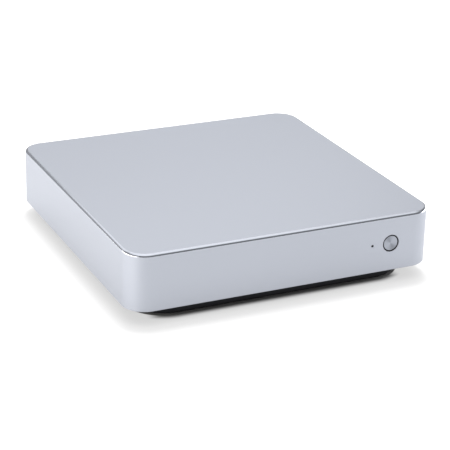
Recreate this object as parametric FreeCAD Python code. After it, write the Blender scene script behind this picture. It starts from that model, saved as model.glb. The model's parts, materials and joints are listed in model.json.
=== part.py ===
"""Karaoke player: an aluminium cover over a set-back black base, with one push button on the front, a row of
sockets behind, and the boards and hard drive inside.

Millimetres. +Z is up, +X is to the right seen from the front, and the front faces -Y. The pieces are drawn
about the middle of the case. Each is then moved forward a little, so that the origin is on the table under the
middle of the whole outline, with the line sockets that stand out behind.
"""

import FreeCAD, Part
import math
import os

from FreeCAD import Vector

AXIS_X = Vector(1, 0, 0)
AXIS_Y = Vector(0, 1, 0)
AXIS_Z = Vector(0, 0, 1)

# Cover
WIDTH = 190.0
DEPTH = 190.0
COVER_HEIGHT = 34.0
COVER_WALL = 2.5
COVER_ROOF = 2.5
CORNER_RADIUS = 13.4
TOP_EDGE_RADIUS = 1.4
NOTCH_BAND = 7.0
NOTCH_SIDE = 20.0
NOTCH_RADIUS = 2.0

# Base
PLINTH_HEIGHT = 8.0
PLINTH_INSET = 9.0
PLINTH_DRAFT = 0.5
PLINTH_CORNER_RADIUS = 23.0
PLINTH_EDGE_CHAMFER = 0.7
BASE_WALL = 2.4
BASE_FLOOR = 2.2
FLANGE_THICKNESS = 2.0
CASE_CLEARANCE = 0.3
VENT_COUNT = 11
VENT_PITCH = 6.6
VENT_LENGTH = 40.0
VENT_WIDTH = 2.4
VENT_FRONT = 6.0

# Feet
FOOT_STANDOFF = 1.0
FOOT_RADIUS = 8.0
FOOT_SIDES = 24
FOOT_INSET = 24.0

# Screws
THREAD_CLEARANCE = 0.02
HOLE_CLEARANCE = 0.25
CASE_SCREW_RADIUS = 1.5
CASE_SCREW_LENGTH = 10.0
CASE_HEAD_RADIUS = 2.8
CASE_SCREW_SIDES = 16
BOSS_SIDE = 7.2
BOSS_GAP = 2.4
BOSS_SINK = 1.0
BOARD_SCREW_RADIUS = 1.4
BOARD_SCREW_LENGTH = 6.0
BOARD_HEAD_RADIUS = 2.6
BOARD_HEAD_HEIGHT = 1.5
FRONT_SCREW_RADIUS = 1.0
FRONT_SCREW_LENGTH = 6.0
FRONT_HEAD_RADIUS = 1.9
FRONT_HEAD_HEIGHT = 1.2
PILOT_SPARE = 1.0
HIDDEN_SIDES = 8

# Push button and its switch
BUTTON_SIDE = 28.6
BUTTON_RADIUS = 4.5
BUTTON_RECESS = 0.3
BUTTON_DISH = 0.25
BUTTON_RIM = 0.35
CAP_THICKNESS = 1.5
BUTTON_TRAVEL = 0.5
BUTTON_CLEARANCE = 0.3
SLEEVE_WALL = 0.3
SLEEVE_CLEARANCE = 0.05
SLEEVE_RECESS = 0.1
GUIDE_THICKNESS = 1.5
STOP_GAP = 0.05
RETAINER_RADIUS = 5.8
RETAINER_THICKNESS = 1.2
TAIL_RADIUS = 1.6
TAIL_LENGTH = 1.6
SWITCH_SIZE = 6.0
SWITCH_HEIGHT = 3.4
PLUNGER_RADIUS = 1.75
PLUNGER_PROUD = 1.6
PLUNGER_CLEARANCE = 0.3
PLUNGER_SEAT = 0.6

# Status light
LENS_SPACING = 12.2
LENS_RADIUS = 0.75
LENS_SIDES = 12
LENS_CLEARANCE = 0.05
LENS_RECESS = 0.15
LED_WIDTH = 3.0
LED_HEIGHT = 2.0
LED_THICKNESS = 1.6
LED_GAP = 0.3

# Front board and its mounting posts
POST_SIDE = 4.4
POST_FIT = 0.02
POST_RISE = 7.0
POST_RIGHT = 7.5
POST_LEFT = 4.0
POST_MARGIN = 1.4
FRONT_BOARD_THICKNESS = 1.2

# Socket panel
PANEL_THICKNESS = 1.6
PANEL_RECESS = 0.6
PANEL_LIP = 3.0
PANEL_MARGIN = 3.0
PANEL_GROOVE = 1.2
PANEL_VENT_PITCH = 13.0
PANEL_VENT_LENGTH = 9.0
PANEL_VENT_WIDTH = 2.0
PANEL_VENT_DROP = 3.4
SOCKET_CLEARANCE = 0.3
SOCKET_PROUD = 0.4

# Direct-current power jack
DC_WIDTH = 9.0
DC_HEIGHT = 10.6
DC_DEPTH = 14.0
DC_NOSE_RADIUS = 4.3
DC_AXIS = 5.6
DC_BORE_RADIUS = 3.1
DC_BORE_DEPTH = 10.0
DC_PIN_RADIUS = 1.0
DC_PIN_SIDES = 12
DC_PIN_RECESS = 1.5

# Network socket
LAN_WIDTH = 16.0
LAN_HEIGHT = 13.6
LAN_DEPTH = 21.0
LAN_SHELL = 0.4
LAN_FIT = 0.05
LAN_RECESS = 0.5
LAN_PLUG_WIDTH = 11.9
LAN_PLUG_HEIGHT = 7.6
LAN_PLUG_DEPTH = 13.0
LAN_KEY_WIDTH = 6.3
LAN_KEY_HEIGHT = 1.5
LAN_LATCH_WIDTH = 3.4
LAN_LATCH_HEIGHT = 1.2
LAN_CEILING = 1.6
LAN_CONTACT_COUNT = 8
LAN_CONTACT_PITCH = 1.02
LAN_CONTACT_WIRE = 0.4
LAN_CONTACT_LENGTH = 9.0
LAN_CONTACT_SLOPE = 12.0

# Double data socket
USB_WIDTH = 13.2
USB_HEIGHT = 15.6
USB_DEPTH = 17.5
USB_PORT_WIDTH = 12.2
USB_PORT_HEIGHT = 5.2
USB_PORT_DEPTH = 12.0
USB_PORT_PITCH = 7.8
USB_TONGUE_WIDTH = 11.0
USB_TONGUE_THICKNESS = 1.9
USB_TONGUE_DROP = 0.9
USB_TONGUE_RECESS = 1.2

# Video socket
HDMI_WIDTH = 15.0
HDMI_HEIGHT = 5.8
HDMI_DEPTH = 12.0
HDMI_SHELL = 0.45
HDMI_FIT = 0.05
HDMI_TAPER_WIDTH = 1.6
HDMI_TAPER_HEIGHT = 2.0
HDMI_BACK = 4.0
HDMI_TONGUE_WIDTH = 11.4
HDMI_TONGUE_THICKNESS = 1.3
HDMI_TONGUE_RECESS = 1.0

# Line output sockets
RCA_WIDTH = 10.0
RCA_HEIGHT = 12.4
RCA_DEPTH = 9.0
RCA_AXIS = 7.0
RCA_COLLAR_RADIUS = 4.8
RCA_COLLAR_PROUD = 1.2
RCA_SLEEVE_RADIUS = 4.15
RCA_SLEEVE_WALL = 0.45
RCA_SLEEVE_PROUD = 9.2
RCA_CORE_RECESS = 1.2
RCA_CORE_FIT = 0.03
RCA_PIN_HOLE_RADIUS = 1.65

# Microphone jacks
MIC_WIDTH = 16.0
MIC_HEIGHT = 15.6
MIC_DEPTH = 25.0
MIC_AXIS = 8.0
MIC_BUSH_RADIUS = 5.8
MIC_BUSH_PROUD = 4.4
MIC_BORE_RADIUS = 3.25
MIC_BORE_DEPTH = 28.0
MIC_NUT_FLATS = 14.0
NUT_SIDES = 6
NUT_BORE_SIDES = 24
MIC_NUT_THICKNESS = 2.4
MIC_NUT_FIT = 0.06

# Main board
BOARD_GAP = 1.0
BOARD_THICKNESS = 1.6
BOARD_SIDE = 2.0
BOARD_REAR_GAP = 1.0
BOARD_HOLE_INSET = 4.5
STANDOFF_SIDE = 6.0
WING_FRONT_GAP = 22.0
WING_OVERHANG = 5.5

# Hard drive, its bracket and its socket
DRIVE_LENGTH = 100.0
DRIVE_WIDTH = 69.85
DRIVE_HEIGHT = 9.5
DRIVE_LID = 0.6
DRIVE_LID_INSET = 1.2
DRIVE_HUB_RADIUS = 13.0
DRIVE_HUB_RISE = 0.5
HUB_SIDES = 24
DRIVE_SIDE_GAP = 8.0
DRIVE_FRONT_GAP = 5.0
DRIVE_REAR_GAP = 4.0
DRIVE_LIFT = 0.8
DRIVE_HOLE_PLUG_END = 14.0
DRIVE_HOLE_FAR_END = 9.4
DRIVE_HOLE_RISE = 3.0
DRIVE_BOARD_POCKET = 1.0
DRIVE_BOARD_THICKNESS = 0.8
DRIVE_BOARD_MARGIN = 8.0
DRIVE_BOARD_LENGTH = 62.0
BRACKET_THICKNESS = 1.2
BRACKET_END = 4.0
BRACKET_FLANGE = 7.0
BRACKET_WINDOW_MARGIN = 18.0
BRACKET_POST_INSET = 9.0
DRIVE_SCREW_LENGTH = 4.2
PLUG_WIDTH = 42.0
PLUG_HEIGHT = 4.4
PLUG_DEPTH = 6.0
PLUG_RISE = 1.4
PLUG_CLEARANCE = 0.4
SOCKET_BLOCK_DEPTH = 6.0
SOCKET_BLOCK_HEIGHT = 7.4

# Components on the main board
CHIP_SIZE = 27.0
CHIP_THICKNESS = 1.6
PAD_THICKNESS = 0.6
SINK_MARGIN = 7.5
SINK_SIDE_GAP = 3.0
SINK_FRONT_GAP = 4.0
SINK_BASE = 3.0
SINK_FIN_COUNT = 9
SINK_FIN_THICKNESS = 1.4
SINK_FIN_HEIGHT = 14.0
SINK_PIN_RADIUS = 1.4
SINK_PIN_HEAD_RADIUS = 2.6
SINK_PIN_HEAD = 1.2
SINK_PIN_TAIL = 1.0
SINK_PIN_ROOM = 2.0
MEMORY_COUNT = 4
MEMORY_LENGTH = 13.0
MEMORY_WIDTH = 9.0
MEMORY_THICKNESS = 1.1
MEMORY_PITCH = 11.5
MEMORY_GAP = 8.0
CAPACITOR_COUNT = 4
CAPACITOR_RADIUS = 4.0
CAPACITOR_HEIGHT = 11.5
CAPACITOR_PITCH = 10.0
CAPACITOR_SIDES = 12
COIL_COUNT = 3
COIL_SIZE = 7.4
COIL_HEIGHT = 4.0
COIL_PITCH = 10.0
POWER_ROW_GAP = 9.0
CODEC_SIZE = 9.0
CODEC_THICKNESS = 1.2
CODEC_GAP = 10.0
RADIO_WIDTH = 13.0
RADIO_LENGTH = 18.0
RADIO_THICKNESS = 0.8
RADIO_CAN_HEIGHT = 1.8
RADIO_CAN_MARGIN = 0.8
RADIO_SIDE = 5.0
RADIO_FRONT = 14.0

# Ribbon lead between the front board and the main board
RIBBON_WIDTH = 8.0
RIBBON_THICKNESS = 0.8
RIBBON_BEND = 6.0
HEADER_LENGTH = 9.6
HEADER_WIDTH = 4.4
HEADER_HEIGHT = 3.4
LEAD_PLUG_HEIGHT = 4.0
HEADER_RISE = 4.0
HEADER_FRONT = 8.0

# Heights that follow from the sizes above
plinth_bottom = FOOT_STANDOFF
floor_top = plinth_bottom + BASE_FLOOR
cover_bottom = plinth_bottom + PLINTH_HEIGHT
cover_top = cover_bottom + COVER_HEIGHT
roof_bottom = cover_top - COVER_ROOF
flange_top = cover_bottom + FLANGE_THICKNESS
board_bottom = flange_top + BOARD_GAP
board_top = board_bottom + BOARD_THICKNESS
notch_top = cover_top - NOTCH_BAND

# Walls and fixing points that follow
inner_x = WIDTH / 2 - COVER_WALL
inner_y = DEPTH / 2 - COVER_WALL
inner_radius = CORNER_RADIUS - COVER_WALL
boss_reach = (inner_radius - BOSS_SIDE / 2 - BOSS_GAP) / math.sqrt(2)
boss_x = WIDTH / 2 - CORNER_RADIUS + boss_reach
boss_y = DEPTH / 2 - CORNER_RADIUS + boss_reach
plinth_x = WIDTH / 2 - PLINTH_INSET
plinth_y = DEPTH / 2 - PLINTH_INSET
foot_x = plinth_x - FOOT_INSET
foot_y = plinth_y - FOOT_INSET
notch_x = WIDTH / 2 - NOTCH_SIDE
panel_face = DEPTH / 2 - PANEL_RECESS
panel_back = panel_face - PANEL_THICKNESS
lip_face = inner_y - CASE_CLEARANCE / 2
lip_back = lip_face - PANEL_THICKNESS
socket_face = panel_face + SOCKET_PROUD

# Front controls that follow
front_face = -DEPTH / 2
front_inner = -inner_y
button_x = WIDTH / 2 - BUTTON_SIDE
button_z = cover_bottom + COVER_HEIGHT / 2
lens_x = button_x - LENS_SPACING
bore_radius = BUTTON_RADIUS + BUTTON_CLEARANCE
sleeve_radius = bore_radius + SLEEVE_WALL
button_hole_radius = sleeve_radius + SLEEVE_CLEARANCE
cap_front = front_face + BUTTON_RECESS
cap_back = cap_front + CAP_THICKNESS
guide_back = front_inner + GUIDE_THICKNESS
retainer_front = guide_back + STOP_GAP
retainer_back = retainer_front + RETAINER_THICKNESS
tail_end = retainer_back + TAIL_LENGTH
plunger_front = tail_end + STOP_GAP
switch_front = plunger_front + PLUNGER_PROUD
front_board_face = switch_front + SWITCH_HEIGHT
front_board_back = front_board_face + FRONT_BOARD_THICKNESS
post_places = (
    (button_x + POST_RIGHT, button_z - POST_RISE),
    (lens_x - POST_LEFT, button_z + POST_RISE),
)
post_half = POST_SIDE / 2
front_board_margin = post_half + POST_MARGIN

# Drive and main board places that follow
drive_left = -inner_x + DRIVE_SIDE_GAP
drive_right = drive_left + DRIVE_LENGTH
drive_front = front_board_back + DRIVE_FRONT_GAP
drive_rear = drive_front + DRIVE_WIDTH
drive_bottom = board_top + DRIVE_LIFT
drive_top = drive_bottom + DRIVE_HEIGHT
bracket_bottom = drive_bottom - BRACKET_THICKNESS
board_x = notch_x - BOARD_SIDE
board_rear = lip_back - BOARD_REAR_GAP
board_front = drive_rear + DRIVE_REAR_GAP
wing_left = drive_right - WING_OVERHANG
wing_front = front_board_back + WING_FRONT_GAP
mic_back = panel_back - SOCKET_CLEARANCE - MIC_DEPTH
board_holes = (
    (board_x - BOARD_HOLE_INSET, mic_back - BOARD_HOLE_INSET),
    (-board_x + BOARD_HOLE_INSET, mic_back - BOARD_HOLE_INSET),
    (-board_x + BOARD_HOLE_INSET, board_front + BOARD_HOLE_INSET),
    (board_x - BOARD_HOLE_INSET, wing_front + BOARD_HOLE_INSET),
)
bracket_left = drive_left + BRACKET_END
bracket_right = wing_left - BRACKET_END
bracket_holes = tuple(
    (x, y)
    for x in (bracket_left + BRACKET_POST_INSET, bracket_right - BRACKET_POST_INSET)
    for y in (drive_front + BRACKET_POST_INSET, drive_rear - BRACKET_POST_INSET)
)

# The socket row, from left to right seen from behind, shares its spare width evenly
SOCKET_WIDTHS = {
    "dc": DC_WIDTH,
    "lan": LAN_WIDTH,
    "usb": USB_WIDTH,
    "hdmi": HDMI_WIDTH,
    "line_left": RCA_WIDTH,
    "line_right": RCA_WIDTH,
    "mic_one": MIC_WIDTH,
    "mic_two": MIC_WIDTH,
}
row_x = notch_x - PANEL_MARGIN
socket_gap = (2 * row_x - sum(SOCKET_WIDTHS.values())) / (len(SOCKET_WIDTHS) - 1)
socket_x = {}
row_edge = row_x
for socket_name, socket_width in SOCKET_WIDTHS.items():
    socket_x[socket_name] = row_edge - socket_width / 2
    row_edge -= socket_width + socket_gap
line_inner_radius = RCA_SLEEVE_RADIUS - RCA_SLEEVE_WALL
LINE_SOCKETS = ("line_left", "line_right")
MIC_SOCKETS = ("mic_one", "mic_two")
rear_reach = panel_face + max(RCA_SLEEVE_PROUD, MIC_BUSH_PROUD)

# The processor and its heat sink stand clear of the microphone jacks
sink_size = CHIP_SIZE + 2 * SINK_MARGIN
chip_x = socket_x["mic_one"] + MIC_WIDTH / 2 + SINK_SIDE_GAP + sink_size / 2
chip_y = board_front + SINK_FRONT_GAP + sink_size / 2
sink_bottom = board_top + CHIP_THICKNESS + PAD_THICKNESS
sink_pin_reach = CHIP_SIZE / 2 + SINK_MARGIN / 2
sink_pins = (
    (chip_x - sink_pin_reach, chip_y - sink_pin_reach),
    (chip_x + sink_pin_reach, chip_y + sink_pin_reach),
)

# The whole outline is centred on the origin
to_middle = Vector(0, (DEPTH / 2 - rear_reach) / 2, 0)


# Shapes used by several pieces


def block(low, high):
    """A box between two opposite corners."""
    low, high = Vector(*low), Vector(*high)
    size = high - low
    return Part.makeBox(size.x, size.y, size.z, low)


def rounded_block(low, high, radius, axis):
    """A box between two corners whose four edges along one axis are rounded."""
    box = block(low, high)
    along = [e for e in box.Edges if abs(e.tangentAt(e.FirstParameter).dot(axis)) > 0.5]
    return box.makeFillet(radius, along)


def rod(radius, start, end):
    """A cylinder from one point to another."""
    start, end = Vector(*start), Vector(*end)
    return Part.makeCylinder(radius, (end - start).Length, start, end - start)


def joined(shapes):
    """Several overlapping or touching shapes as one solid."""
    return shapes[0].multiFuse(shapes[1:]).removeSplitter()


def group(shapes):
    """Separate solids kept together as one piece of the list."""
    return Part.makeCompound(shapes)


def level_edges(shape, z):
    """The edges of a shape that lie flat at one height."""
    near = 1e-6
    return [e for e in shape.Edges if abs(e.BoundBox.ZMin - z) < near and abs(e.BoundBox.ZMax - z) < near]


def case_block(half_x, half_y, radius, z_low, z_high):
    """A block centred on the case with round upright corners."""
    return rounded_block((-half_x, -half_y, z_low), (half_x, half_y, z_high), radius, AXIS_Z)


def mirrored(x, y):
    """The four places at plus and minus x and y."""
    return [(sx * x, sy * y) for sx in (1, -1) for sy in (1, -1)]


def corners(sides, radius, centre, direction):
    """The corners of a regular many-sided outline around a point, square to a direction."""
    turn = FreeCAD.Rotation(AXIS_Z, direction)
    angles = [2 * math.pi * step / sides for step in range(sides)]
    return [centre + turn.multVec(Vector(radius * math.cos(a), radius * math.sin(a), 0)) for a in angles]


def flat(points):
    """A flat face between points."""
    return Part.Face(Part.makePolygon(points + points[:1]))


def bar(sides, radius, start, end):
    """A straight many-sided bar from one point to another."""
    start, end = Vector(*start), Vector(*end)
    return flat(corners(sides, radius, start, end - start)).extrude(end - start)


def flare(sides, radius_start, radius_end, start, end):
    """A many-sided bar that widens or narrows from one point to another."""
    start, end = Vector(*start), Vector(*end)
    near = corners(sides, radius_start, start, end - start)
    far = corners(sides, radius_end, end, end - start)
    faces = [flat(near), flat(far)]
    for index in range(sides):
        faces.append(flat([near[index - 1], near[index], far[index], far[index - 1]]))
    return Part.makeSolid(Part.makeShell(faces))


def pan_screw(shank, length, head, head_height, seat, direction):
    """A screw whose flat head sits on a seat and whose shank runs along a direction."""
    seat, direction = Vector(*seat), Vector(*direction)
    parts = [
        bar(HIDDEN_SIDES, head, seat - direction * head_height, seat),
        bar(HIDDEN_SIDES, shank, seat, seat + direction * length),
    ]
    return joined(parts)


# Case


def top_cover():
    """The cover: roof and four walls in one, with screw bosses, board posts and openings."""
    shell = case_block(WIDTH / 2, DEPTH / 2, CORNER_RADIUS, cover_bottom, cover_top)
    shell = shell.makeFillet(TOP_EDGE_RADIUS, level_edges(shell, cover_top))
    shell = shell.cut(case_block(inner_x, inner_y, inner_radius, cover_bottom, roof_bottom))
    added, removed = [], []
    for x, y in mirrored(boss_x, boss_y):
        added.append(corner_boss(x, y))
        pilot_end = cover_bottom + CASE_SCREW_LENGTH + PILOT_SPARE
        pilot = CASE_SCREW_RADIUS + THREAD_CLEARANCE
        removed.append(bar(HIDDEN_SIDES, pilot, (x, y, flange_top), (x, y, pilot_end)))
    for x, z in post_places:
        added.append(front_post(x, z, front_inner, front_board_face, 0))
        depth = FRONT_SCREW_LENGTH - FRONT_BOARD_THICKNESS + PILOT_SPARE
        start = (x, front_board_face - depth, z)
        pilot = FRONT_SCREW_RADIUS + THREAD_CLEARANCE
        removed.append(bar(HIDDEN_SIDES, pilot, start, (x, front_board_face, z)))
    notch_low = (-notch_x, lip_face, cover_bottom - NOTCH_RADIUS)
    notch_high = (notch_x, DEPTH / 2, notch_top)
    removed.append(rounded_block(notch_low, notch_high, NOTCH_RADIUS, AXIS_Y))
    hole_start, hole_end = front_face, front_inner
    for x, radius in ((button_x, button_hole_radius), (lens_x, LENS_RADIUS + LENS_CLEARANCE)):
        removed.append(rod(radius, (x, hole_start, button_z), (x, hole_end, button_z)))
    return joined([shell] + added).cut(group(removed))


def corner_boss(x, y):
    """A square screw boss that runs from the flange to the roof and into the round corner of the wall."""
    half = BOSS_SIDE / 2
    reach = inner_radius / math.sqrt(2) - boss_reach + BOSS_SINK
    out_x, out_y = math.copysign(1, x), math.copysign(1, y)
    near = (x - out_x * half, y - out_y * half)
    far = (x + out_x * reach, y + out_y * reach)
    low = (min(near[0], far[0]), min(near[1], far[1]), flange_top)
    return block(low, (max(near[0], far[0]), max(near[1], far[1]), roof_bottom))


def front_post(x, z, start, end, spread):
    """One of the square posts behind the front wall, or the space round it when spread by a fit."""
    half = post_half + spread
    return block((x - half, start, z - half), (x + half, end, z + half))


def base_tray():
    """The black base: a plinth with a floor, and a flange that closes the cover from below."""
    flange_x, flange_y = inner_x - CASE_CLEARANCE, inner_y - CASE_CLEARANCE
    flange = case_block(flange_x, flange_y, inner_radius - CASE_CLEARANCE, cover_bottom, flange_top)
    chamfer = PLINTH_EDGE_CHAMFER
    sole = plinth_loft(-chamfer, plinth_bottom, 0, plinth_bottom + chamfer)
    plinth = plinth_loft(0, plinth_bottom + chamfer, PLINTH_DRAFT, cover_bottom)
    well_x, well_y = plinth_x - BASE_WALL, plinth_y - BASE_WALL
    well = case_block(well_x, well_y, PLINTH_CORNER_RADIUS - BASE_WALL, floor_top, flange_top)
    tray = joined([flange, plinth, sole]).cut(well)
    posts, removed = [], []
    pilot = BOARD_SCREW_RADIUS + THREAD_CLEARANCE
    half = STANDOFF_SIDE / 2
    for places, top in base_posts():
        for x, y in places:
            posts.append(block((x - half, y - half, floor_top), (x + half, y + half, top)))
            pilot_end = top - BOARD_SCREW_LENGTH - PILOT_SPARE
            removed.append(bar(HIDDEN_SIDES, pilot, (x, y, pilot_end), (x, y, top)))
    for x, y in mirrored(boss_x, boss_y):
        shank = CASE_SCREW_RADIUS + HOLE_CLEARANCE
        head = CASE_HEAD_RADIUS + HOLE_CLEARANCE
        removed.append(flare(CASE_SCREW_SIDES, head, shank, (x, y, cover_bottom), (x, y, flange_top)))
    for index in range(VENT_COUNT):
        x = (index - (VENT_COUNT - 1) / 2) * VENT_PITCH
        start = board_front + VENT_FRONT
        low = (x - VENT_WIDTH / 2, start, plinth_bottom)
        removed.append(block(low, (x + VENT_WIDTH / 2, start + VENT_LENGTH, floor_top)))
    groove_x = notch_x + PANEL_LIP + CASE_CLEARANCE
    groove_low = (-groove_x, lip_back - CASE_CLEARANCE / 2, flange_top - PANEL_GROOVE)
    removed.append(block(groove_low, (groove_x, inner_y, flange_top)))
    return joined([tray] + posts).cut(group(removed))


def plinth_loft(spread_low, z_low, spread_high, z_high):
    """A length of the plinth between two heights, each with its own spread."""
    wires = [plinth_outline(spread_low, z_low), plinth_outline(spread_high, z_high)]
    return Part.makeLoft(wires, True, True)


def plinth_outline(spread, z):
    """The plinth's round-cornered outline at one height, spread outwards by the draft."""
    solid = case_block(plinth_x + spread, plinth_y + spread, PLINTH_CORNER_RADIUS + spread, z, z + 1)
    return Part.Wire(Part.__sortEdges__(level_edges(solid, z)))


def base_posts():
    """The posts on the base's floor: where they stand and how high they reach."""
    return ((board_holes, board_bottom), (bracket_holes, bracket_bottom))


def foot_pads():
    """Four round rubber pads stuck under the plinth."""
    places = mirrored(foot_x, foot_y)
    return group([bar(FOOT_SIDES, FOOT_RADIUS, (x, y, 0), (x, y, plinth_bottom)) for x, y in places])


def cover_screws():
    """Countersunk screws that hold the base's flange to the cover's bosses."""
    screws = []
    for x, y in mirrored(boss_x, boss_y):
        head = (x, y, cover_bottom), (x, y, flange_top)
        shank = (x, y, flange_top), (x, y, cover_bottom + CASE_SCREW_LENGTH)
        parts = [
            flare(CASE_SCREW_SIDES, CASE_HEAD_RADIUS, CASE_SCREW_RADIUS, *head),
            bar(HIDDEN_SIDES, CASE_SCREW_RADIUS, *shank),
        ]
        screws.append(joined(parts))
    return group(screws)


# Push button, switch and status light


def power_button():
    """The metal button cap: a disc with a shallow dish inside its rim."""
    cap = rod(BUTTON_RADIUS, (button_x, cap_front, button_z), (button_x, cap_back, button_z))
    dish_radius = BUTTON_RADIUS - BUTTON_RIM
    ball_radius = (dish_radius**2 + BUTTON_DISH**2) / (2 * BUTTON_DISH)
    ball_centre = Vector(button_x, cap_front + BUTTON_DISH - ball_radius, button_z)
    return cap.cut(Part.makeSphere(ball_radius, ball_centre))


def button_carrier():
    """The plastic stem behind the cap: it slides in the guide and its retainer stops it from coming out."""
    retainer_start = (button_x, retainer_front, button_z)
    return joined(
        [
            rod(BUTTON_RADIUS, (button_x, cap_back, button_z), retainer_start),
            bar(HIDDEN_SIDES, RETAINER_RADIUS, retainer_start, (button_x, retainer_back, button_z)),
            bar(HIDDEN_SIDES, TAIL_RADIUS, (button_x, retainer_back, button_z), (button_x, tail_end, button_z)),
        ]
    )


def button_guide():
    """The black guide plate pressed on the posts behind the front wall, with the sleeve in the button hole."""
    sleeve_front = front_face + SLEEVE_RECESS
    sleeve = rod(sleeve_radius, (button_x, sleeve_front, button_z), (button_x, guide_back, button_z))
    lens_hole = LENS_RADIUS + HOLE_CLEARANCE
    removed = [
        rod(bore_radius, (button_x, sleeve_front, button_z), (button_x, guide_back, button_z)),
        bar(HIDDEN_SIDES, lens_hole, (lens_x, front_inner, button_z), (lens_x, guide_back, button_z)),
    ]
    removed += [front_post(x, z, front_inner, guide_back, POST_FIT) for x, z in post_places]
    return joined([front_sheet(front_inner, guide_back), sleeve]).cut(group(removed))


def front_sheet(start, end):
    """A plate across both posts behind the front wall, between two depths."""
    (right_x, right_z), (left_x, left_z) = post_places
    margin = front_board_margin
    return block((left_x - margin, start, right_z - margin), (right_x + margin, end, left_z + margin))


def front_board():
    """The small board that carries the switch and the light, screwed to the cover's posts."""
    radius = FRONT_SCREW_RADIUS + HOLE_CLEARANCE
    holes = []
    for x, z in post_places:
        holes.append(bar(HIDDEN_SIDES, radius, (x, front_board_face, z), (x, front_board_back, z)))
    return front_sheet(front_board_face, front_board_back).cut(group(holes))


def front_screws():
    """Pan-head screws that hold the front board to the posts."""
    return group(
        [
            pan_screw(
                FRONT_SCREW_RADIUS,
                FRONT_SCREW_LENGTH,
                FRONT_HEAD_RADIUS,
                FRONT_HEAD_HEIGHT,
                (x, front_board_back, z),
                (0, -1, 0),
            )
            for x, z in post_places
        ]
    )


def switch_body():
    """The tactile switch's square housing, with the hole that its plunger works in."""
    half = SWITCH_SIZE / 2
    low = (button_x - half, switch_front, button_z - half)
    high = (button_x + half, front_board_face, button_z + half)
    radius = PLUNGER_RADIUS + PLUNGER_CLEARANCE
    depth = PLUNGER_SEAT + BUTTON_TRAVEL + STOP_GAP
    well_start, well_end = (button_x, switch_front, button_z), (button_x, switch_front + depth, button_z)
    return block(low, high).cut(bar(HIDDEN_SIDES, radius, well_start, well_end))


def switch_plunger():
    """The tactile switch's plunger, which the button's tail pushes."""
    end = switch_front + PLUNGER_SEAT
    return bar(HIDDEN_SIDES, PLUNGER_RADIUS, (button_x, plunger_front, button_z), (button_x, end, button_z))


def status_lens():
    """The smoked light pipe from the pin-sized hole, through the guide plate, to the diode."""
    front = front_face + LENS_RECESS
    end = front_board_face - LED_THICKNESS - LED_GAP
    return bar(LENS_SIDES, LENS_RADIUS, (lens_x, front, button_z), (lens_x, end, button_z))


def status_led():
    """The light-emitting diode behind the light pipe."""
    low = (lens_x - LED_WIDTH / 2, front_board_face - LED_THICKNESS, button_z - LED_HEIGHT / 2)
    return block(low, (lens_x + LED_WIDTH / 2, front_board_face, button_z + LED_HEIGHT / 2))


# Socket panel and sockets


def rear_panel():
    """The black panel in the cover's rear notch, with a lip behind the wall and a foot in the base's groove."""
    face_x = notch_x - CASE_CLEARANCE
    face_top = notch_top - CASE_CLEARANCE
    lip_x = notch_x + PANEL_LIP
    face_low = (-face_x, lip_back, cover_bottom)
    raised = rounded_block(face_low, (face_x, panel_face, face_top), NOTCH_RADIUS, AXIS_Y)
    lip = block((-lip_x, lip_back, flange_top - PANEL_GROOVE), (lip_x, lip_face, notch_top + PANEL_LIP))
    foot_clear = block((-lip_x, lip_back, cover_bottom), (lip_x, inner_y, flange_top - PANEL_GROOVE))
    rim = PANEL_THICKNESS
    hollow_low = (-face_x + rim, lip_back, flange_top + rim)
    hollow = block(hollow_low, (face_x - rim, panel_back, face_top - rim))
    cuts = [hollow, foot_clear] + panel_openings()
    return joined([raised, lip]).cut(group(cuts))


def panel_openings():
    """The cut-outs that the sockets come through, and the row of air slots above them."""
    gap = SOCKET_CLEARANCE
    near, far = panel_back, panel_face
    cuts = []
    for name, height in (("lan", LAN_HEIGHT), ("usb", USB_HEIGHT), ("hdmi", HDMI_HEIGHT)):
        x, half = socket_x[name], SOCKET_WIDTHS[name] / 2 + gap
        low = (x - half, near, board_top - gap)
        cuts.append(block(low, (x + half, far, board_top + height + gap)))
    for name, axis_rise, radius in round_sockets():
        x, z = socket_x[name], board_top + axis_rise
        cuts.append(rod(radius + gap, (x, near, z), (x, far, z)))
    count = int((2 * row_x - PANEL_VENT_LENGTH) // PANEL_VENT_PITCH) + 1
    for index in range(count):
        x = (index - (count - 1) / 2) * PANEL_VENT_PITCH
        z = notch_top - PANEL_VENT_DROP
        low = (x - PANEL_VENT_LENGTH / 2, near, z - PANEL_VENT_WIDTH / 2)
        cuts.append(block(low, (x + PANEL_VENT_LENGTH / 2, far, z + PANEL_VENT_WIDTH / 2)))
    return cuts


def round_sockets():
    """Each round socket's name, the height of its axis above the board and its radius in the panel."""
    places = [("dc", DC_AXIS, DC_NOSE_RADIUS)]
    places += [(name, RCA_AXIS, RCA_COLLAR_RADIUS) for name in LINE_SOCKETS]
    places += [(name, MIC_AXIS, MIC_BUSH_RADIUS) for name in MIC_SOCKETS]
    return places


def dc_jack_body():
    """The power jack's housing: a block on the board with a round nose and a bore for the plug."""
    x, z = socket_x["dc"], board_top + DC_AXIS
    half = DC_WIDTH / 2
    back = socket_face - DC_DEPTH
    front = panel_back - SOCKET_CLEARANCE
    housing = block((x - half, back, board_top), (x + half, front, board_top + DC_HEIGHT))
    nose = rod(DC_NOSE_RADIUS, (x, back, z), (x, socket_face, z))
    bore = rod(DC_BORE_RADIUS, (x, socket_face - DC_BORE_DEPTH, z), (x, socket_face, z))
    return joined([housing, nose]).cut(bore)


def dc_jack_pin():
    """The power jack's centre pin."""
    x, z = socket_x["dc"], board_top + DC_AXIS
    root, tip = (x, socket_face - DC_BORE_DEPTH, z), (x, socket_face - DC_PIN_RECESS, z)
    return bar(DC_PIN_SIDES, DC_PIN_RADIUS, root, tip)


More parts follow.
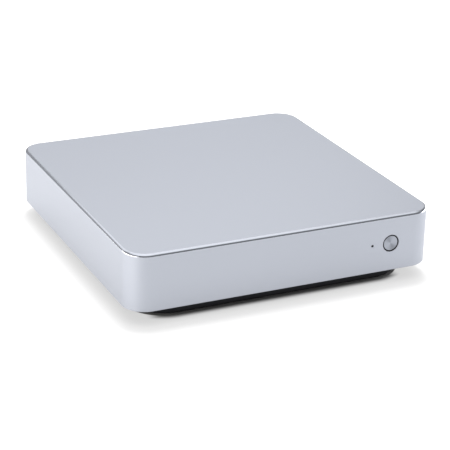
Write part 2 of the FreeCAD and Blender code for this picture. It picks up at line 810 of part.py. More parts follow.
def lan_shell():
    """The network socket's folded metal shield, open at the front."""
    x, half = socket_x["lan"], LAN_WIDTH / 2
    back, top = socket_face - LAN_DEPTH, board_top + LAN_HEIGHT
    outside = block((x - half, back, board_top), (x + half, socket_face, top))
    low = (x - half + LAN_SHELL, back + LAN_SHELL, board_top + LAN_SHELL)
    return outside.cut(block(low, (x + half - LAN_SHELL, socket_face, top - LAN_SHELL)))


def lan_insert():
    """The network socket's moulded insert, with the plug's cavity and the stepped slot for its latch."""
    x = socket_x["lan"]
    wall = LAN_SHELL + LAN_FIT
    half = LAN_WIDTH / 2 - wall
    front = socket_face - LAN_RECESS
    low = (x - half, socket_face - LAN_DEPTH + wall, board_top + wall)
    insert = block(low, (x + half, front, board_top + LAN_HEIGHT - wall))
    cavity_top = board_top + LAN_HEIGHT - wall - LAN_CEILING
    cavity_back = front - LAN_PLUG_DEPTH
    cuts = []
    level = cavity_top
    for width, height in (
        (LAN_PLUG_WIDTH, LAN_PLUG_HEIGHT),
        (LAN_KEY_WIDTH, LAN_KEY_HEIGHT),
        (LAN_LATCH_WIDTH, LAN_LATCH_HEIGHT),
    ):
        cuts.append(block((x - width / 2, cavity_back, level - height), (x + width / 2, front, level)))
        level -= height
    return insert.cut(joined(cuts))


def lan_contacts():
    """The network socket's row of sprung contact wires, sloping down from the cavity's roof."""
    x = socket_x["lan"]
    roof = board_top + LAN_HEIGHT - LAN_SHELL - LAN_FIT - LAN_CEILING
    front = socket_face - LAN_RECESS - LAN_CONTACT_WIRE
    wires = []
    for index in range(LAN_CONTACT_COUNT):
        wire_x = x + (index - (LAN_CONTACT_COUNT - 1) / 2) * LAN_CONTACT_PITCH
        low = Vector(wire_x - LAN_CONTACT_WIRE / 2, front - LAN_CONTACT_LENGTH, roof - LAN_CONTACT_WIRE)
        wire = Part.makeBox(LAN_CONTACT_WIRE, LAN_CONTACT_LENGTH, LAN_CONTACT_WIRE, low)
        wire.rotate(Vector(wire_x, front, roof), AXIS_X, LAN_CONTACT_SLOPE)
        wires.append(wire)
    return group(wires)


def usb_ports():
    """The heights of the two data ports' middles."""
    middle = board_top + USB_HEIGHT / 2
    return (middle - USB_PORT_PITCH / 2, middle + USB_PORT_PITCH / 2)


def usb_shell():
    """The double data socket's metal shell, with two ports one above the other."""
    x, half = socket_x["usb"], USB_WIDTH / 2
    back = socket_face - USB_DEPTH
    shell = block((x - half, back, board_top), (x + half, socket_face, board_top + USB_HEIGHT))
    ports = []
    for z in usb_ports():
        low = (x - USB_PORT_WIDTH / 2, socket_face - USB_PORT_DEPTH, z - USB_PORT_HEIGHT / 2)
        ports.append(block(low, (x + USB_PORT_WIDTH / 2, socket_face, z + USB_PORT_HEIGHT / 2)))
    return shell.cut(group(ports))


def usb_tongues():
    """The plastic tongues that carry the data ports' contacts."""
    x = socket_x["usb"]
    tongues = []
    for z in usb_ports():
        top = z + USB_PORT_HEIGHT / 2 - USB_TONGUE_DROP
        low = (x - USB_TONGUE_WIDTH / 2, socket_face - USB_PORT_DEPTH, top - USB_TONGUE_THICKNESS)
        tongues.append(block(low, (x + USB_TONGUE_WIDTH / 2, socket_face - USB_TONGUE_RECESS, top)))
    return group(tongues)


def hdmi_section(inset, y_low, y_high):
    """The video socket's section, narrowed at its lower corners, between two depths."""
    x = socket_x["hdmi"]
    half = HDMI_WIDTH / 2 - inset
    low, high = board_top + inset, board_top + HDMI_HEIGHT - inset
    shoulder = low + HDMI_TAPER_HEIGHT
    foot = half - HDMI_TAPER_WIDTH
    outline = ((-half, high), (half, high), (half, shoulder), (foot, low), (-foot, low), (-half, shoulder))
    points = [Vector(x + px, y_low, pz) for px, pz in outline]
    return flat(points).extrude(AXIS_Y * (y_high - y_low))


def hdmi_shell():
    """The video socket's metal shell."""
    back = socket_face - HDMI_DEPTH
    return hdmi_section(0, back, socket_face).cut(hdmi_section(HDMI_SHELL, back + HDMI_SHELL, socket_face))


def hdmi_insert():
    """The video socket's moulded back and contact tongue."""
    x = socket_x["hdmi"]
    back = socket_face - HDMI_DEPTH + HDMI_SHELL
    core = hdmi_section(HDMI_SHELL + HDMI_FIT, back, back + HDMI_BACK)
    middle = board_top + HDMI_HEIGHT / 2
    low = (x - HDMI_TONGUE_WIDTH / 2, back, middle - HDMI_TONGUE_THICKNESS / 2)
    high = (x + HDMI_TONGUE_WIDTH / 2, socket_face - HDMI_TONGUE_RECESS, middle + HDMI_TONGUE_THICKNESS / 2)
    return joined([core, block(low, high)])


def line_axis(name):
    """A line output socket's axis, as its x and z."""
    return socket_x[name], board_top + RCA_AXIS


def line_housings():
    """The line output sockets' housings on the board, with collars that come through the panel."""
    housings = []
    front = panel_back - SOCKET_CLEARANCE
    collar_face = panel_face + RCA_COLLAR_PROUD
    for name in LINE_SOCKETS:
        x, z = line_axis(name)
        half = RCA_WIDTH / 2
        body = block((x - half, front - RCA_DEPTH, board_top), (x + half, front, board_top + RCA_HEIGHT))
        housings.append(joined([body, rod(RCA_COLLAR_RADIUS, (x, front, z), (x, collar_face, z))]))
    return group(housings)


def line_sleeves():
    """The line output sockets' metal sleeves, which stand on the collars and a phono plug slides over."""
    sleeves = []
    for name in LINE_SOCKETS:
        x, z = line_axis(name)
        start, end = panel_face + RCA_COLLAR_PROUD, panel_face + RCA_SLEEVE_PROUD
        outside = rod(RCA_SLEEVE_RADIUS, (x, start, z), (x, end, z))
        sleeves.append(outside.cut(rod(line_inner_radius, (x, start, z), (x, end, z))))
    return group(sleeves)


def line_core(name):
    """One line output socket's coloured insulator inside the sleeve, with the hole for the plug's pin."""
    x, z = line_axis(name)
    start = panel_face + RCA_COLLAR_PROUD
    end = panel_face + RCA_SLEEVE_PROUD - RCA_CORE_RECESS
    outside = rod(line_inner_radius - RCA_CORE_FIT, (x, start, z), (x, end, z))
    return outside.cut(rod(RCA_PIN_HOLE_RADIUS, (x, start + RCA_SLEEVE_WALL, z), (x, end, z)))


def mic_axis(name):
    """A microphone jack's axis, as its x and z."""
    return socket_x[name], board_top + MIC_AXIS


def mic_jacks():
    """The microphone jacks: a housing on the board, a bush through the panel and the bore for the plug."""
    jacks = []
    front = panel_back - SOCKET_CLEARANCE
    mouth = panel_face + MIC_BUSH_PROUD
    for name in MIC_SOCKETS:
        x, z = mic_axis(name)
        half = MIC_WIDTH / 2
        housing = block((x - half, mic_back, board_top), (x + half, front, board_top + MIC_HEIGHT))
        bush = rod(MIC_BUSH_RADIUS, (x, front, z), (x, mouth, z))
        bore = rod(MIC_BORE_RADIUS, (x, mouth - MIC_BORE_DEPTH, z), (x, mouth, z))
        jacks.append(joined([housing, bush]).cut(bore))
    return group(jacks)


def mic_nuts():
    """The hexagon nuts that clamp the microphone jacks' bushes to the panel."""
    nuts = []
    corner = MIC_NUT_FLATS / 2 / math.cos(math.pi / NUT_SIDES)
    bore = (MIC_BUSH_RADIUS + MIC_NUT_FIT) / math.cos(math.pi / NUT_BORE_SIDES)
    for name in MIC_SOCKETS:
        x, z = mic_axis(name)
        start, end = (x, panel_face, z), (x, panel_face + MIC_NUT_THICKNESS, z)
        nuts.append(bar(NUT_SIDES, corner, start, end).cut(bar(NUT_BORE_SIDES, bore, start, end)))
    return group(nuts)


# Main board and what is soldered to it


def main_board():
    """The L-shaped main board: a strip along the sockets and a wing beside the drive."""
    strip = block((-board_x, board_front, board_bottom), (board_x, board_rear, board_top))
    wing = block((wing_left, wing_front, board_bottom), (board_x, board_front, board_top))
    holes = []
    screw_hole, pin_hole = BOARD_SCREW_RADIUS + HOLE_CLEARANCE, SINK_PIN_RADIUS + THREAD_CLEARANCE
    for places, radius in ((board_holes, screw_hole), (sink_pins, pin_hole)):
        holes += [bar(HIDDEN_SIDES, radius, (x, y, board_bottom), (x, y, board_top)) for x, y in places]
    return joined([strip, wing]).cut(group(holes))


def board_screws():
    """Pan-head screws that hold the main board to the base's posts."""
    return group(
        [
            pan_screw(
                BOARD_SCREW_RADIUS,
                BOARD_SCREW_LENGTH,
                BOARD_HEAD_RADIUS,
                BOARD_HEAD_HEIGHT,
                (x, y, board_top),
                (0, 0, -1),
            )
            for x, y in board_holes
        ]
    )


def on_board(x, y, length, width, height):
    """A component's block standing on the main board, centred on x and y."""
    low, high = (x - length / 2, y - width / 2, board_top), (x + length / 2, y + width / 2, board_top + height)
    return block(low, high)


def processor():
    """The media processor."""
    return on_board(chip_x, chip_y, CHIP_SIZE, CHIP_SIZE, CHIP_THICKNESS)


def thermal_pad():
    """The soft pad between the processor and its heat sink."""
    pad = on_board(chip_x, chip_y, CHIP_SIZE, CHIP_SIZE, PAD_THICKNESS)
    pad.translate(AXIS_Z * CHIP_THICKNESS)
    return pad


def heat_sink():
    """The processor's extruded heat sink, with clear corners for its two push pins."""
    half = sink_size / 2
    plate_top = sink_bottom + SINK_BASE
    plate = block((chip_x - half, chip_y - half, sink_bottom), (chip_x + half, chip_y + half, plate_top))
    pitch = (sink_size - SINK_FIN_THICKNESS) / (SINK_FIN_COUNT - 1)
    fins = []
    for index in range(SINK_FIN_COUNT):
        left = chip_x - half + index * pitch
        high = (left + SINK_FIN_THICKNESS, chip_y + half, plate_top + SINK_FIN_HEIGHT)
        fins.append(block((left, chip_y - half, plate_top), high))
    cuts = []
    room = SINK_PIN_HEAD_RADIUS + SINK_PIN_ROOM
    for x, y in sink_pins:
        hole = SINK_PIN_RADIUS + HOLE_CLEARANCE
        cuts.append(bar(HIDDEN_SIDES, hole, (x, y, sink_bottom), (x, y, plate_top)))
        cuts.append(block((x - room, y - room, plate_top), (x + room, y + room, plate_top + SINK_FIN_HEIGHT)))
    return joined([plate] + fins).cut(group(cuts))


def heat_sink_pins():
    """The push pins that hold the heat sink to the main board."""
    plate_top = sink_bottom + SINK_BASE
    length = plate_top - board_bottom + SINK_PIN_TAIL
    down = (0, 0, -1)
    return group(
        [
            pan_screw(SINK_PIN_RADIUS, length, SINK_PIN_HEAD_RADIUS, SINK_PIN_HEAD, (x, y, plate_top), down)
            for x, y in sink_pins
        ]
    )


def memory_chips():
    """The memory chips in a column beside the processor."""
    x = chip_x + sink_size / 2 + MEMORY_GAP
    chips = []
    for index in range(MEMORY_COUNT):
        y = chip_y + (index - (MEMORY_COUNT - 1) / 2) * MEMORY_PITCH
        chips.append(on_board(x, y, MEMORY_LENGTH, MEMORY_WIDTH, MEMORY_THICKNESS))
    return group(chips)


def power_row():
    """Where the power parts stand: the first column beside the right edge and the row behind the sockets."""
    return board_x - 2 * BOARD_HOLE_INSET, socket_face - LAN_DEPTH - POWER_ROW_GAP


def capacitors():
    """The electrolytic capacitors near the power jack."""
    right, y = power_row()
    cans = []
    for index in range(CAPACITOR_COUNT):
        x = right - CAPACITOR_RADIUS - index * CAPACITOR_PITCH
        top = (x, y, board_top + CAPACITOR_HEIGHT)
        cans.append(bar(CAPACITOR_SIDES, CAPACITOR_RADIUS, (x, y, board_top), top))
    return group(cans)


def power_coils():
    """The square shielded inductors in front of the capacitors."""
    right, y = power_row()
    row = y - CAPACITOR_RADIUS - COIL_SIZE
    coils = []
    for index in range(COIL_COUNT):
        x = right - COIL_SIZE / 2 - index * COIL_PITCH
        coils.append(on_board(x, row, COIL_SIZE, COIL_SIZE, COIL_HEIGHT))
    return group(coils)


def audio_chips():
    """The sound converter and the microphone amplifier in front of the microphone jacks."""
    y = mic_back - CODEC_GAP - CODEC_SIZE / 2
    return group([on_board(socket_x[name], y, CODEC_SIZE, CODEC_SIZE, CODEC_THICKNESS) for name in MIC_SOCKETS])


def radio_place():
    """The middle of the radio module on the board's wing."""
    return board_x - RADIO_SIDE - RADIO_WIDTH / 2, board_front - RADIO_FRONT


def radio_module():
    """The wireless module's own small board."""
    x, y = radio_place()
    return on_board(x, y, RADIO_WIDTH, RADIO_LENGTH, RADIO_THICKNESS)


def radio_shield():
    """The metal can over the wireless module."""
    x, y = radio_place()
    width, length = RADIO_WIDTH - 2 * RADIO_CAN_MARGIN, RADIO_LENGTH - 2 * RADIO_CAN_MARGIN
    can = on_board(x, y, width, length, RADIO_CAN_HEIGHT)
    can.translate(AXIS_Z * RADIO_THICKNESS)
    return can


# Ribbon lead


def lead_line():
    """The ribbon's middle: x, the front header's height and the main header's y."""
    return (button_x + lens_x) / 2, button_z + HEADER_RISE, wing_front + HEADER_FRONT


def lead_headers():
    """The two pin headers that the ribbon plugs into, one on each board."""
    x, z, y = lead_line()
    half, thick = HEADER_LENGTH / 2, HEADER_WIDTH / 2
    front = block(
        (x - half, front_board_back, z - thick), (x + half, front_board_back + HEADER_HEIGHT, z + thick)
    )
    return group([front, on_board(x, y, HEADER_LENGTH, HEADER_WIDTH, HEADER_HEIGHT)])


def lead_plugs():
    """The plugs at the ribbon's ends."""
    x, z, y = lead_line()
    half, thick = HEADER_LENGTH / 2, HEADER_WIDTH / 2
    start = front_board_back + HEADER_HEIGHT
    front = block((x - half, start, z - thick), (x + half, start + LEAD_PLUG_HEIGHT, z + thick))
    main = on_board(x, y, HEADER_LENGTH, HEADER_WIDTH, LEAD_PLUG_HEIGHT)
    main.translate(AXIS_Z * HEADER_HEIGHT)
    return group([front, main])


def ribbon_lead():
    """The flat ribbon from the front board: straight back, round one bend and down to the main board."""
    x, z, y = lead_line()
    start = front_board_back + HEADER_HEIGHT + LEAD_PLUG_HEIGHT
    bottom = board_top + HEADER_HEIGHT + LEAD_PLUG_HEIGHT
    left, half = x - RIBBON_WIDTH / 2, RIBBON_THICKNESS / 2
    outer, inner = RIBBON_BEND + half, RIBBON_BEND - half
    bend = Vector(left, y - RIBBON_BEND, z - RIBBON_BEND)
    diagonal = Vector(0, math.sqrt(0.5), math.sqrt(0.5))
    over_start, over_end = Vector(left, start, z + half), Vector(left, y + half, bottom)
    under_start, under_end = Vector(left, y - half, bottom), Vector(left, start, z - half)
    over = [over_start, bend + AXIS_Z * outer, bend + AXIS_Y * outer, over_end]
    under = [under_start, bend + AXIS_Y * inner, bend + AXIS_Z * inner, under_end]
    edges = [
        Part.LineSegment(over[0], over[1]).toShape(),
        Part.Arc(over[1], bend + diagonal * outer, over[2]).toShape(),
        Part.LineSegment(over[2], over[3]).toShape(),
        Part.LineSegment(over[3], under[0]).toShape(),
        Part.LineSegment(under[0], under[1]).toShape(),
        Part.Arc(under[1], bend + diagonal * inner, under[2]).toShape(),
        Part.LineSegment(under[2], under[3]).toShape(),
        Part.LineSegment(under[3], over[0]).toShape(),
    ]
    return Part.Face(Part.Wire(edges)).extrude(AXIS_X * RIBBON_WIDTH)


# Hard drive


def drive_screw_places():
    """Where the drive's side screws go in: x, y of the drive's side, z and the way out of the drive."""
    z = drive_bottom + DRIVE_HOLE_RISE
    return [
        (x, side, z, out)
        for x in (drive_right - DRIVE_HOLE_PLUG_END, drive_left + DRIVE_HOLE_FAR_END)
        for side, out in ((drive_front, -1), (drive_rear, 1))
    ]


def drive_case():
    """The hard drive's cast body, with its side holes, board pocket and plug recess."""
    low = (drive_left, drive_front, drive_bottom)
    body = block(low, (drive_right, drive_rear, drive_top - DRIVE_LID))
    cuts = [drive_board_block(DRIVE_BOARD_POCKET, LAN_FIT)]
    plug_low = (drive_right - PLUG_DEPTH, plug_middle() - PLUG_WIDTH / 2, drive_bottom + PLUG_RISE)
    plug_high = (drive_right, plug_middle() + PLUG_WIDTH / 2, drive_bottom + PLUG_RISE + PLUG_HEIGHT)
    cuts.append(block(plug_low, plug_high))
    depth = DRIVE_SCREW_LENGTH - BRACKET_THICKNESS + PILOT_SPARE
    for x, side, z, out in drive_screw_places():
        pilot = BOARD_SCREW_RADIUS + THREAD_CLEARANCE
        cuts.append(bar(HIDDEN_SIDES, pilot, (x, side, z), (x, side - out * depth, z)))
    return body.cut(group(cuts))


def plug_middle():
    """The y of the middle of the drive's plug."""
    return (drive_front + drive_rear) / 2


def drive_board_block(height, spread):
    """The space of the drive's own board on its underside, widened by a clearance."""
    low_x = drive_left + DRIVE_BOARD_MARGIN - spread
    high_x = drive_left + DRIVE_BOARD_MARGIN + DRIVE_BOARD_LENGTH + spread
    low_y = drive_front + DRIVE_BOARD_MARGIN - spread
    high_y = drive_rear - DRIVE_BOARD_MARGIN + spread
    return block((low_x, low_y, drive_bottom), (high_x, high_y, drive_bottom + height))


def drive_lid():
    """The hard drive's pressed lid, with the round boss over its spindle."""
    inset = DRIVE_LID_INSET
    base = drive_top - DRIVE_LID
    low = (drive_left + inset, drive_front + inset, base)
    plate = block(low, (drive_right - inset, drive_rear - inset, drive_top))
    hub_x = drive_left + DRIVE_WIDTH / 2
    hub_y = (drive_front + drive_rear) / 2
    hub = bar(HUB_SIDES, DRIVE_HUB_RADIUS, (hub_x, hub_y, base), (hub_x, hub_y, drive_top + DRIVE_HUB_RISE))
    return joined([plate, hub])


def drive_board():
    """The hard drive's own board, in the pocket on its underside."""
    board = drive_board_block(DRIVE_BOARD_THICKNESS, 0)
    board.translate(AXIS_Z * (DRIVE_BOARD_POCKET - DRIVE_BOARD_THICKNESS))
    return board


def drive_bracket():
    """The folded sheet under the drive: a floor with a window, and side flanges that the drive screws to."""
    sheet = BRACKET_THICKNESS
    floor_low = (bracket_left, drive_front - sheet, bracket_bottom)
    floor = block(floor_low, (bracket_right, drive_rear + sheet, drive_bottom))
    flanges = []
    for inner, outer in ((drive_front, drive_front - sheet), (drive_rear, drive_rear + sheet)):
        low = (bracket_left, min(inner, outer), bracket_bottom)
        flanges.append(block(low, (bracket_right, max(inner, outer), drive_bottom + BRACKET_FLANGE)))
    margin = BRACKET_WINDOW_MARGIN
    window_low = (bracket_left + margin, drive_front + margin, bracket_bottom)
    window_high = (bracket_right - margin, drive_rear - margin, drive_bottom)
    cuts = [block(window_low, window_high)]
    head, shank = BOARD_HEAD_RADIUS + HOLE_CLEARANCE, BOARD_SCREW_RADIUS + HOLE_CLEARANCE
    for x, y in bracket_holes:
        cuts.append(flare(HIDDEN_SIDES, head, shank, (x, y, drive_bottom), (x, y, bracket_bottom)))
    for x, side, z, out in drive_screw_places():
        cuts.append(bar(HIDDEN_SIDES, shank, (x, side + out * sheet, z), (x, side, z)))
    return joined([floor] + flanges).cut(group(cuts))


def bracket_screws():
    """Countersunk screws that hold the bracket to the base's posts, flush under the drive."""
    screws = []
    for x, y in bracket_holes:
        head = (x, y, drive_bottom), (x, y, bracket_bottom)
        shank = (x, y, bracket_bottom), (x, y, bracket_bottom - BOARD_SCREW_LENGTH)
        parts = [
            flare(HIDDEN_SIDES, BOARD_HEAD_RADIUS, BOARD_SCREW_RADIUS, *head),
            bar(HIDDEN_SIDES, BOARD_SCREW_RADIUS, *shank),
        ]
        screws.append(joined(parts))
    return group(screws)


def drive_screws():
    """Pan-head screws through the bracket's flanges into the drive."""
    return group(
        [
            pan_screw(
                BOARD_SCREW_RADIUS,
                DRIVE_SCREW_LENGTH,
                BOARD_HEAD_RADIUS,
                BOARD_HEAD_HEIGHT,
                (x, side + out * BRACKET_THICKNESS, z),
                (0, -out, 0),
            )
            for x, side, z, out in drive_screw_places()
        ]
    )


def drive_socket():
    """The edge socket on the board's wing that the drive plugs into."""
    gap = PLUG_CLEARANCE
    middle, half = plug_middle(), PLUG_WIDTH / 2
    foot_low = (drive_right + gap, middle - half, board_top)
    foot_high = (drive_right + gap + SOCKET_BLOCK_DEPTH, middle + half, board_top + SOCKET_BLOCK_HEIGHT)
    foot = block(foot_low, foot_high)
    nose_low = (drive_right - PLUG_DEPTH + gap, middle - half + gap, drive_bottom + PLUG_RISE + gap)
    nose_high = (drive_right + gap, middle + half - gap, drive_bottom + PLUG_RISE + PLUG_HEIGHT - gap)
    return joined([foot, block(nose_low, nose_high)])


PIECES = {
    "top_cover": top_cover,
    "base_tray": base_tray,
    "foot_pads": foot_pads,
    "cover_screws": cover_screws,
    "power_button": power_button,
    "button_carrier": button_carrier,
    "button_guide": button_guide,
    "switch_body": switch_body,
    "switch_plunger": switch_plunger,
    "status_lens": status_lens,
    "status_led": status_led,
    "front_board": front_board,
    "front_screws": front_screws,
    "rear_panel": rear_panel,
    "dc_jack_body": dc_jack_body,
    "dc_jack_pin": dc_jack_pin,
    "lan_shell": lan_shell,
    "lan_insert": lan_insert,
    "lan_contacts": lan_contacts,
    "usb_shell": usb_shell,
    "usb_tongues": usb_tongues,
    "hdmi_shell": hdmi_shell,
    "hdmi_insert": hdmi_insert,
    "line_housings": line_housings,
    "line_sleeves": line_sleeves,
    "line_core_left": lambda: line_core("line_left"),
    "line_core_right": lambda: line_core("line_right"),
    "mic_jacks": mic_jacks,
    "mic_nuts": mic_nuts,
    "main_board": main_board,
    "board_screws": board_screws,
    "processor": processor,
    "thermal_pad": thermal_pad,
    "heat_sink": heat_sink,
    "heat_sink_pins": heat_sink_pins,
    "memory_chips": memory_chips,
    "capacitors": capacitors,
    "power_coils": power_coils,
    "audio_chips": audio_chips,
    "radio_module": radio_module,
    "radio_shield": radio_shield,
    "lead_headers": lead_headers,
    "lead_plugs": lead_plugs,
    "ribbon_lead": ribbon_lead,
    "drive_case": drive_case,
    "drive_lid": drive_lid,
    "drive_board": drive_board,
    "drive_bracket": drive_bracket,
    "bracket_screws": bracket_screws,
    "drive_screws": drive_screws,
    "drive_socket": drive_socket,
}

os.makedirs("parts", exist_ok=True)
for name, make in PIECES.items():
    piece = make()
    piece.translate(to_middle)
    piece.exportStep(os.path.join("parts", name + ".step"))
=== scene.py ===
"""Looks of a flat karaoke player: a satin metal cover on a black base, a spun button and a socket panel."""

import json
import math

import bmesh
import bpy
from mathutils import Matrix, Vector


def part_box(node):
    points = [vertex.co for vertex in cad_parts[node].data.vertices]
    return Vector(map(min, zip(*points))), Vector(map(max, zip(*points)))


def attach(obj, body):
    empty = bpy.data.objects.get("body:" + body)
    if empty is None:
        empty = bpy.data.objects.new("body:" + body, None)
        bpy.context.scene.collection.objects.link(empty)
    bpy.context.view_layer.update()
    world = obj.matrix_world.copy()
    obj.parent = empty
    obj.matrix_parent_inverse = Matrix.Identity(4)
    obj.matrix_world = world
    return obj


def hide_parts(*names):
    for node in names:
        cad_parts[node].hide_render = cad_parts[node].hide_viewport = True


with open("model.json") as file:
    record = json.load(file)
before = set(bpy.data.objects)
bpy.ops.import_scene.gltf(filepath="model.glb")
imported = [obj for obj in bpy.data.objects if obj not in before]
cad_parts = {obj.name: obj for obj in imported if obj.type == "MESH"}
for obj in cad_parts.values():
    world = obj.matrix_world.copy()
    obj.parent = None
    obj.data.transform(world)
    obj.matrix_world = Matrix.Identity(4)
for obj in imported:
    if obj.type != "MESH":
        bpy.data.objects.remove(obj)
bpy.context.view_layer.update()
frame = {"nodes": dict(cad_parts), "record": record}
NODES = frame["nodes"]
SLOT_OF = {part["node"]: part["material_slot"] for part in frame["record"]["subparts"]}
BODY_OF = {node: body for body, nodes in frame["record"]["behaviour"]["bodies"].items() for node in nodes}
MM = 0.001

# Finishes: tones are shares of a finish's own colour, and stretches draw its grain out along an axis
# The spun button's two darker fans are painted reflection, at this angle and this share of its colour
REFLECTION_FAN_ANGLE = math.radians(118.0)
PAINTED_REFLECTION_TONE = 0.68
TRACK_STRENGTH = 0.6
TRACK_TONE = 2.2
WORN_LIFT = 0.05
WORN_TONE = 1.9
GLOSS_SWING = 0.06
ALONG_X = (0.03, 1.0, 1.0)
ALONG_Y = (1.0, 0.03, 1.0)
RIBBON_WIRES = (1.0, 0.02, 0.02)

# Meshes: closer points are one, a smaller ring is a pole, and faces that turn further meet in an edge
MERGE_DISTANCE = 0.002 * MM
POLE_RADIUS = 0.0001 * MM
FLAT_ANGLE = math.radians(0.6)
WORN_ANGLE = math.radians(14.0)
BEVEL_ANGLE = math.radians(32.0)
SHARP_ANGLE = math.radians(50.0)

# Small pieces whose sizes the frame doesn't give
FINE_EDGE = 0.06 * MM
BUSH_RADIUS = 5.8 * MM
NUT_BORE = 5.86 * MM
TONGUE_HALF = 0.65 * MM
CONTACT_SUNK = 0.4

# Stage, in metres: directions point from the player to the studio's two pale walls
FLOOR_HALF = 9.0
BACK_WALL = (0.33, 0.70, 0.64)
LEFT_WALL = (-0.42, 0.86, 0.22)
WALL_FOCUS = 14.0
CEILING_START = 0.60
CEILING_FULL = 0.95
CAMERA_OFFSET = (-0.38283, -0.82062)
CAMERA_HEIGHT = 0.38991

bl_info = {
    "name": "Karaoke player looks",
    "version": (1, 0, 0),
    "blender": (4, 5, 0),
    "location": "3D View > Sidebar > Player",
    "description": "Builds the finished surfaces of the karaoke player around its packed CAD frame",
    "category": "Object",
}


def length_property(name, description, millimetres):
    """A length that a user may change, given in millimetres and kept in metres."""
    return bpy.props.FloatProperty(
        name=name, description=description, default=millimetres * MM, min=0.0, precision=5, unit="LENGTH"
    )


def angle_property(name, description, degrees):
    """An angle that a user may change, given in degrees and kept in radians."""
    return bpy.props.FloatProperty(
        name=name, description=description, default=math.radians(degrees), precision=4, subtype="ANGLE"
    )


def colour_property(name, description, colour):
    """A colour that a user may change."""
    return bpy.props.FloatVectorProperty(
        name=name, description=description, default=colour, size=3, min=0.0, max=1.0, subtype="COLOR"
    )


def share_property(name, description, share):
    """A number between nought and one that a user may change."""
    return bpy.props.FloatProperty(
        name=name, description=description, default=share, min=0.0, max=1.0, subtype="FACTOR"
    )


def count_property(name, description, count, least):
    """A whole number that a user may change."""
    return bpy.props.IntProperty(name=name, description=description, default=count, min=least)


def amount_property(name, description, amount, unit="NONE"):
    """A number from nought up, with its unit, that a user may change."""
    return bpy.props.FloatProperty(name=name, description=description, default=amount, min=0.0, unit=unit)


class CoverSettings(bpy.types.PropertyGroup):
    """Sizes and finish of the metal cover."""

    corner_radius: length_property("Corner radius", "Radius of the four upright corners", 13.4)
    edge_radius: length_property("Top edge radius", "Round along the roof's edge", 1.8)
    lower_chamfer: length_property("Lower chamfer", "Broken edge along the foot of the walls", 0.3)
    wall: length_property("Wall", "Thickness of walls and roof", 2.5)
    hole_radius: length_property("Button hole radius", "Radius of the hole round the button", 5.15)
    hole_chamfer: length_property("Button hole chamfer", "Broken edge of the button hole", 0.18)
    light_radius: length_property("Light hole radius", "Radius of the pin-sized hole", 0.8)
    light_chamfer: length_property("Light hole chamfer", "Broken edge of the pin-sized hole", 0.09)
    panel_lip: length_property("Panel lip", "How far the socket panel's lip reaches behind the wall", 3.0)
    notch_radius: length_property("Notch radius", "Round in the upper corners of the rear notch", 2.0)
    corner_steps: count_property("Corner steps", "Faces round each upright corner", 28, 4)
    edge_steps: count_property("Edge steps", "Faces across the round of the roof's edge", 10, 2)
    notch_steps: count_property("Notch steps", "Faces round each corner of the rear notch", 8, 2)
    colour: colour_property("Metal colour", "Colour of the anodised metal", (0.420, 0.440, 0.490))
    roughness: share_property("Roughness", "How softly the blasted metal reflects", 0.46)
    polish: share_property("Polish", "How much less rough the roof's rolled edge is", 0.28)


class BaseSettings(bpy.types.PropertyGroup):
    """Sizes and finish of the black base, its pads and its screws."""

    bevel: length_property("Edge", "Round on the base's moulded edges", 0.35)
    inset: length_property("Inset", "How far the base stands back under the cover", 9.0)
    corner_radius: length_property("Corner radius", "Radius of the base's upright corners", 23.0)
    colour: colour_property("Base colour", "Colour of the black moulding", (0.011, 0.0115, 0.014))
    pad_edge: length_property("Pad edge", "Round on the rubber pads' edges", 0.3)
    pad_hollow: share_property("Pad hollow", "Radius of the tread's hollow as a share of the pad's", 0.62)
    cross_width: length_property("Cross width", "Width of the screws' cross recess", 0.75)


class ButtonSettings(bpy.types.PropertyGroup):
    """Sizes and finish of the push button."""

    dish: length_property("Dish", "Depth of the shallow dish in the button's face", 0.25)
    dish_steps: count_property("Dish steps", "Faces from the dish's middle to its rim", 12, 3)
    rim: length_property("Rim", "Width of the button's plain rim", 0.35)
    edge: length_property("Edge", "Round on the button's rim", 0.12)
    ring_pitch: length_property("Ring pitch", "Distance between the turned rings", 0.16)
    colour: colour_property("Button colour", "Colour of the spun metal", (0.305, 0.322, 0.365))


class SocketSettings(bpy.types.PropertyGroup):
    """Sizes and finish of the socket panel and the sockets."""

    bevel: length_property("Edge", "Round on the sockets' edges", 0.12)
    panel_bevel: length_property("Panel edge", "Round on the panel's edges", 0.18)
    contact_width: length_property("Contact width", "Width of the data sockets' gold contacts", 1.0)
    contact_pitch: length_property("Contact pitch", "Distance between the data sockets' contacts", 2.5)
    fine_width: length_property("Fine contact width", "Width of the video socket's contacts", 0.45)
    fine_pitch: length_property("Fine contact pitch", "Distance between the video socket's contacts", 1.0)
    thread_pitch: length_property("Thread pitch", "Distance between the jack bushes' thread crests", 0.6)
    colour: colour_property("Panel colour", "Colour of the textured panel", (0.013, 0.0135, 0.015))


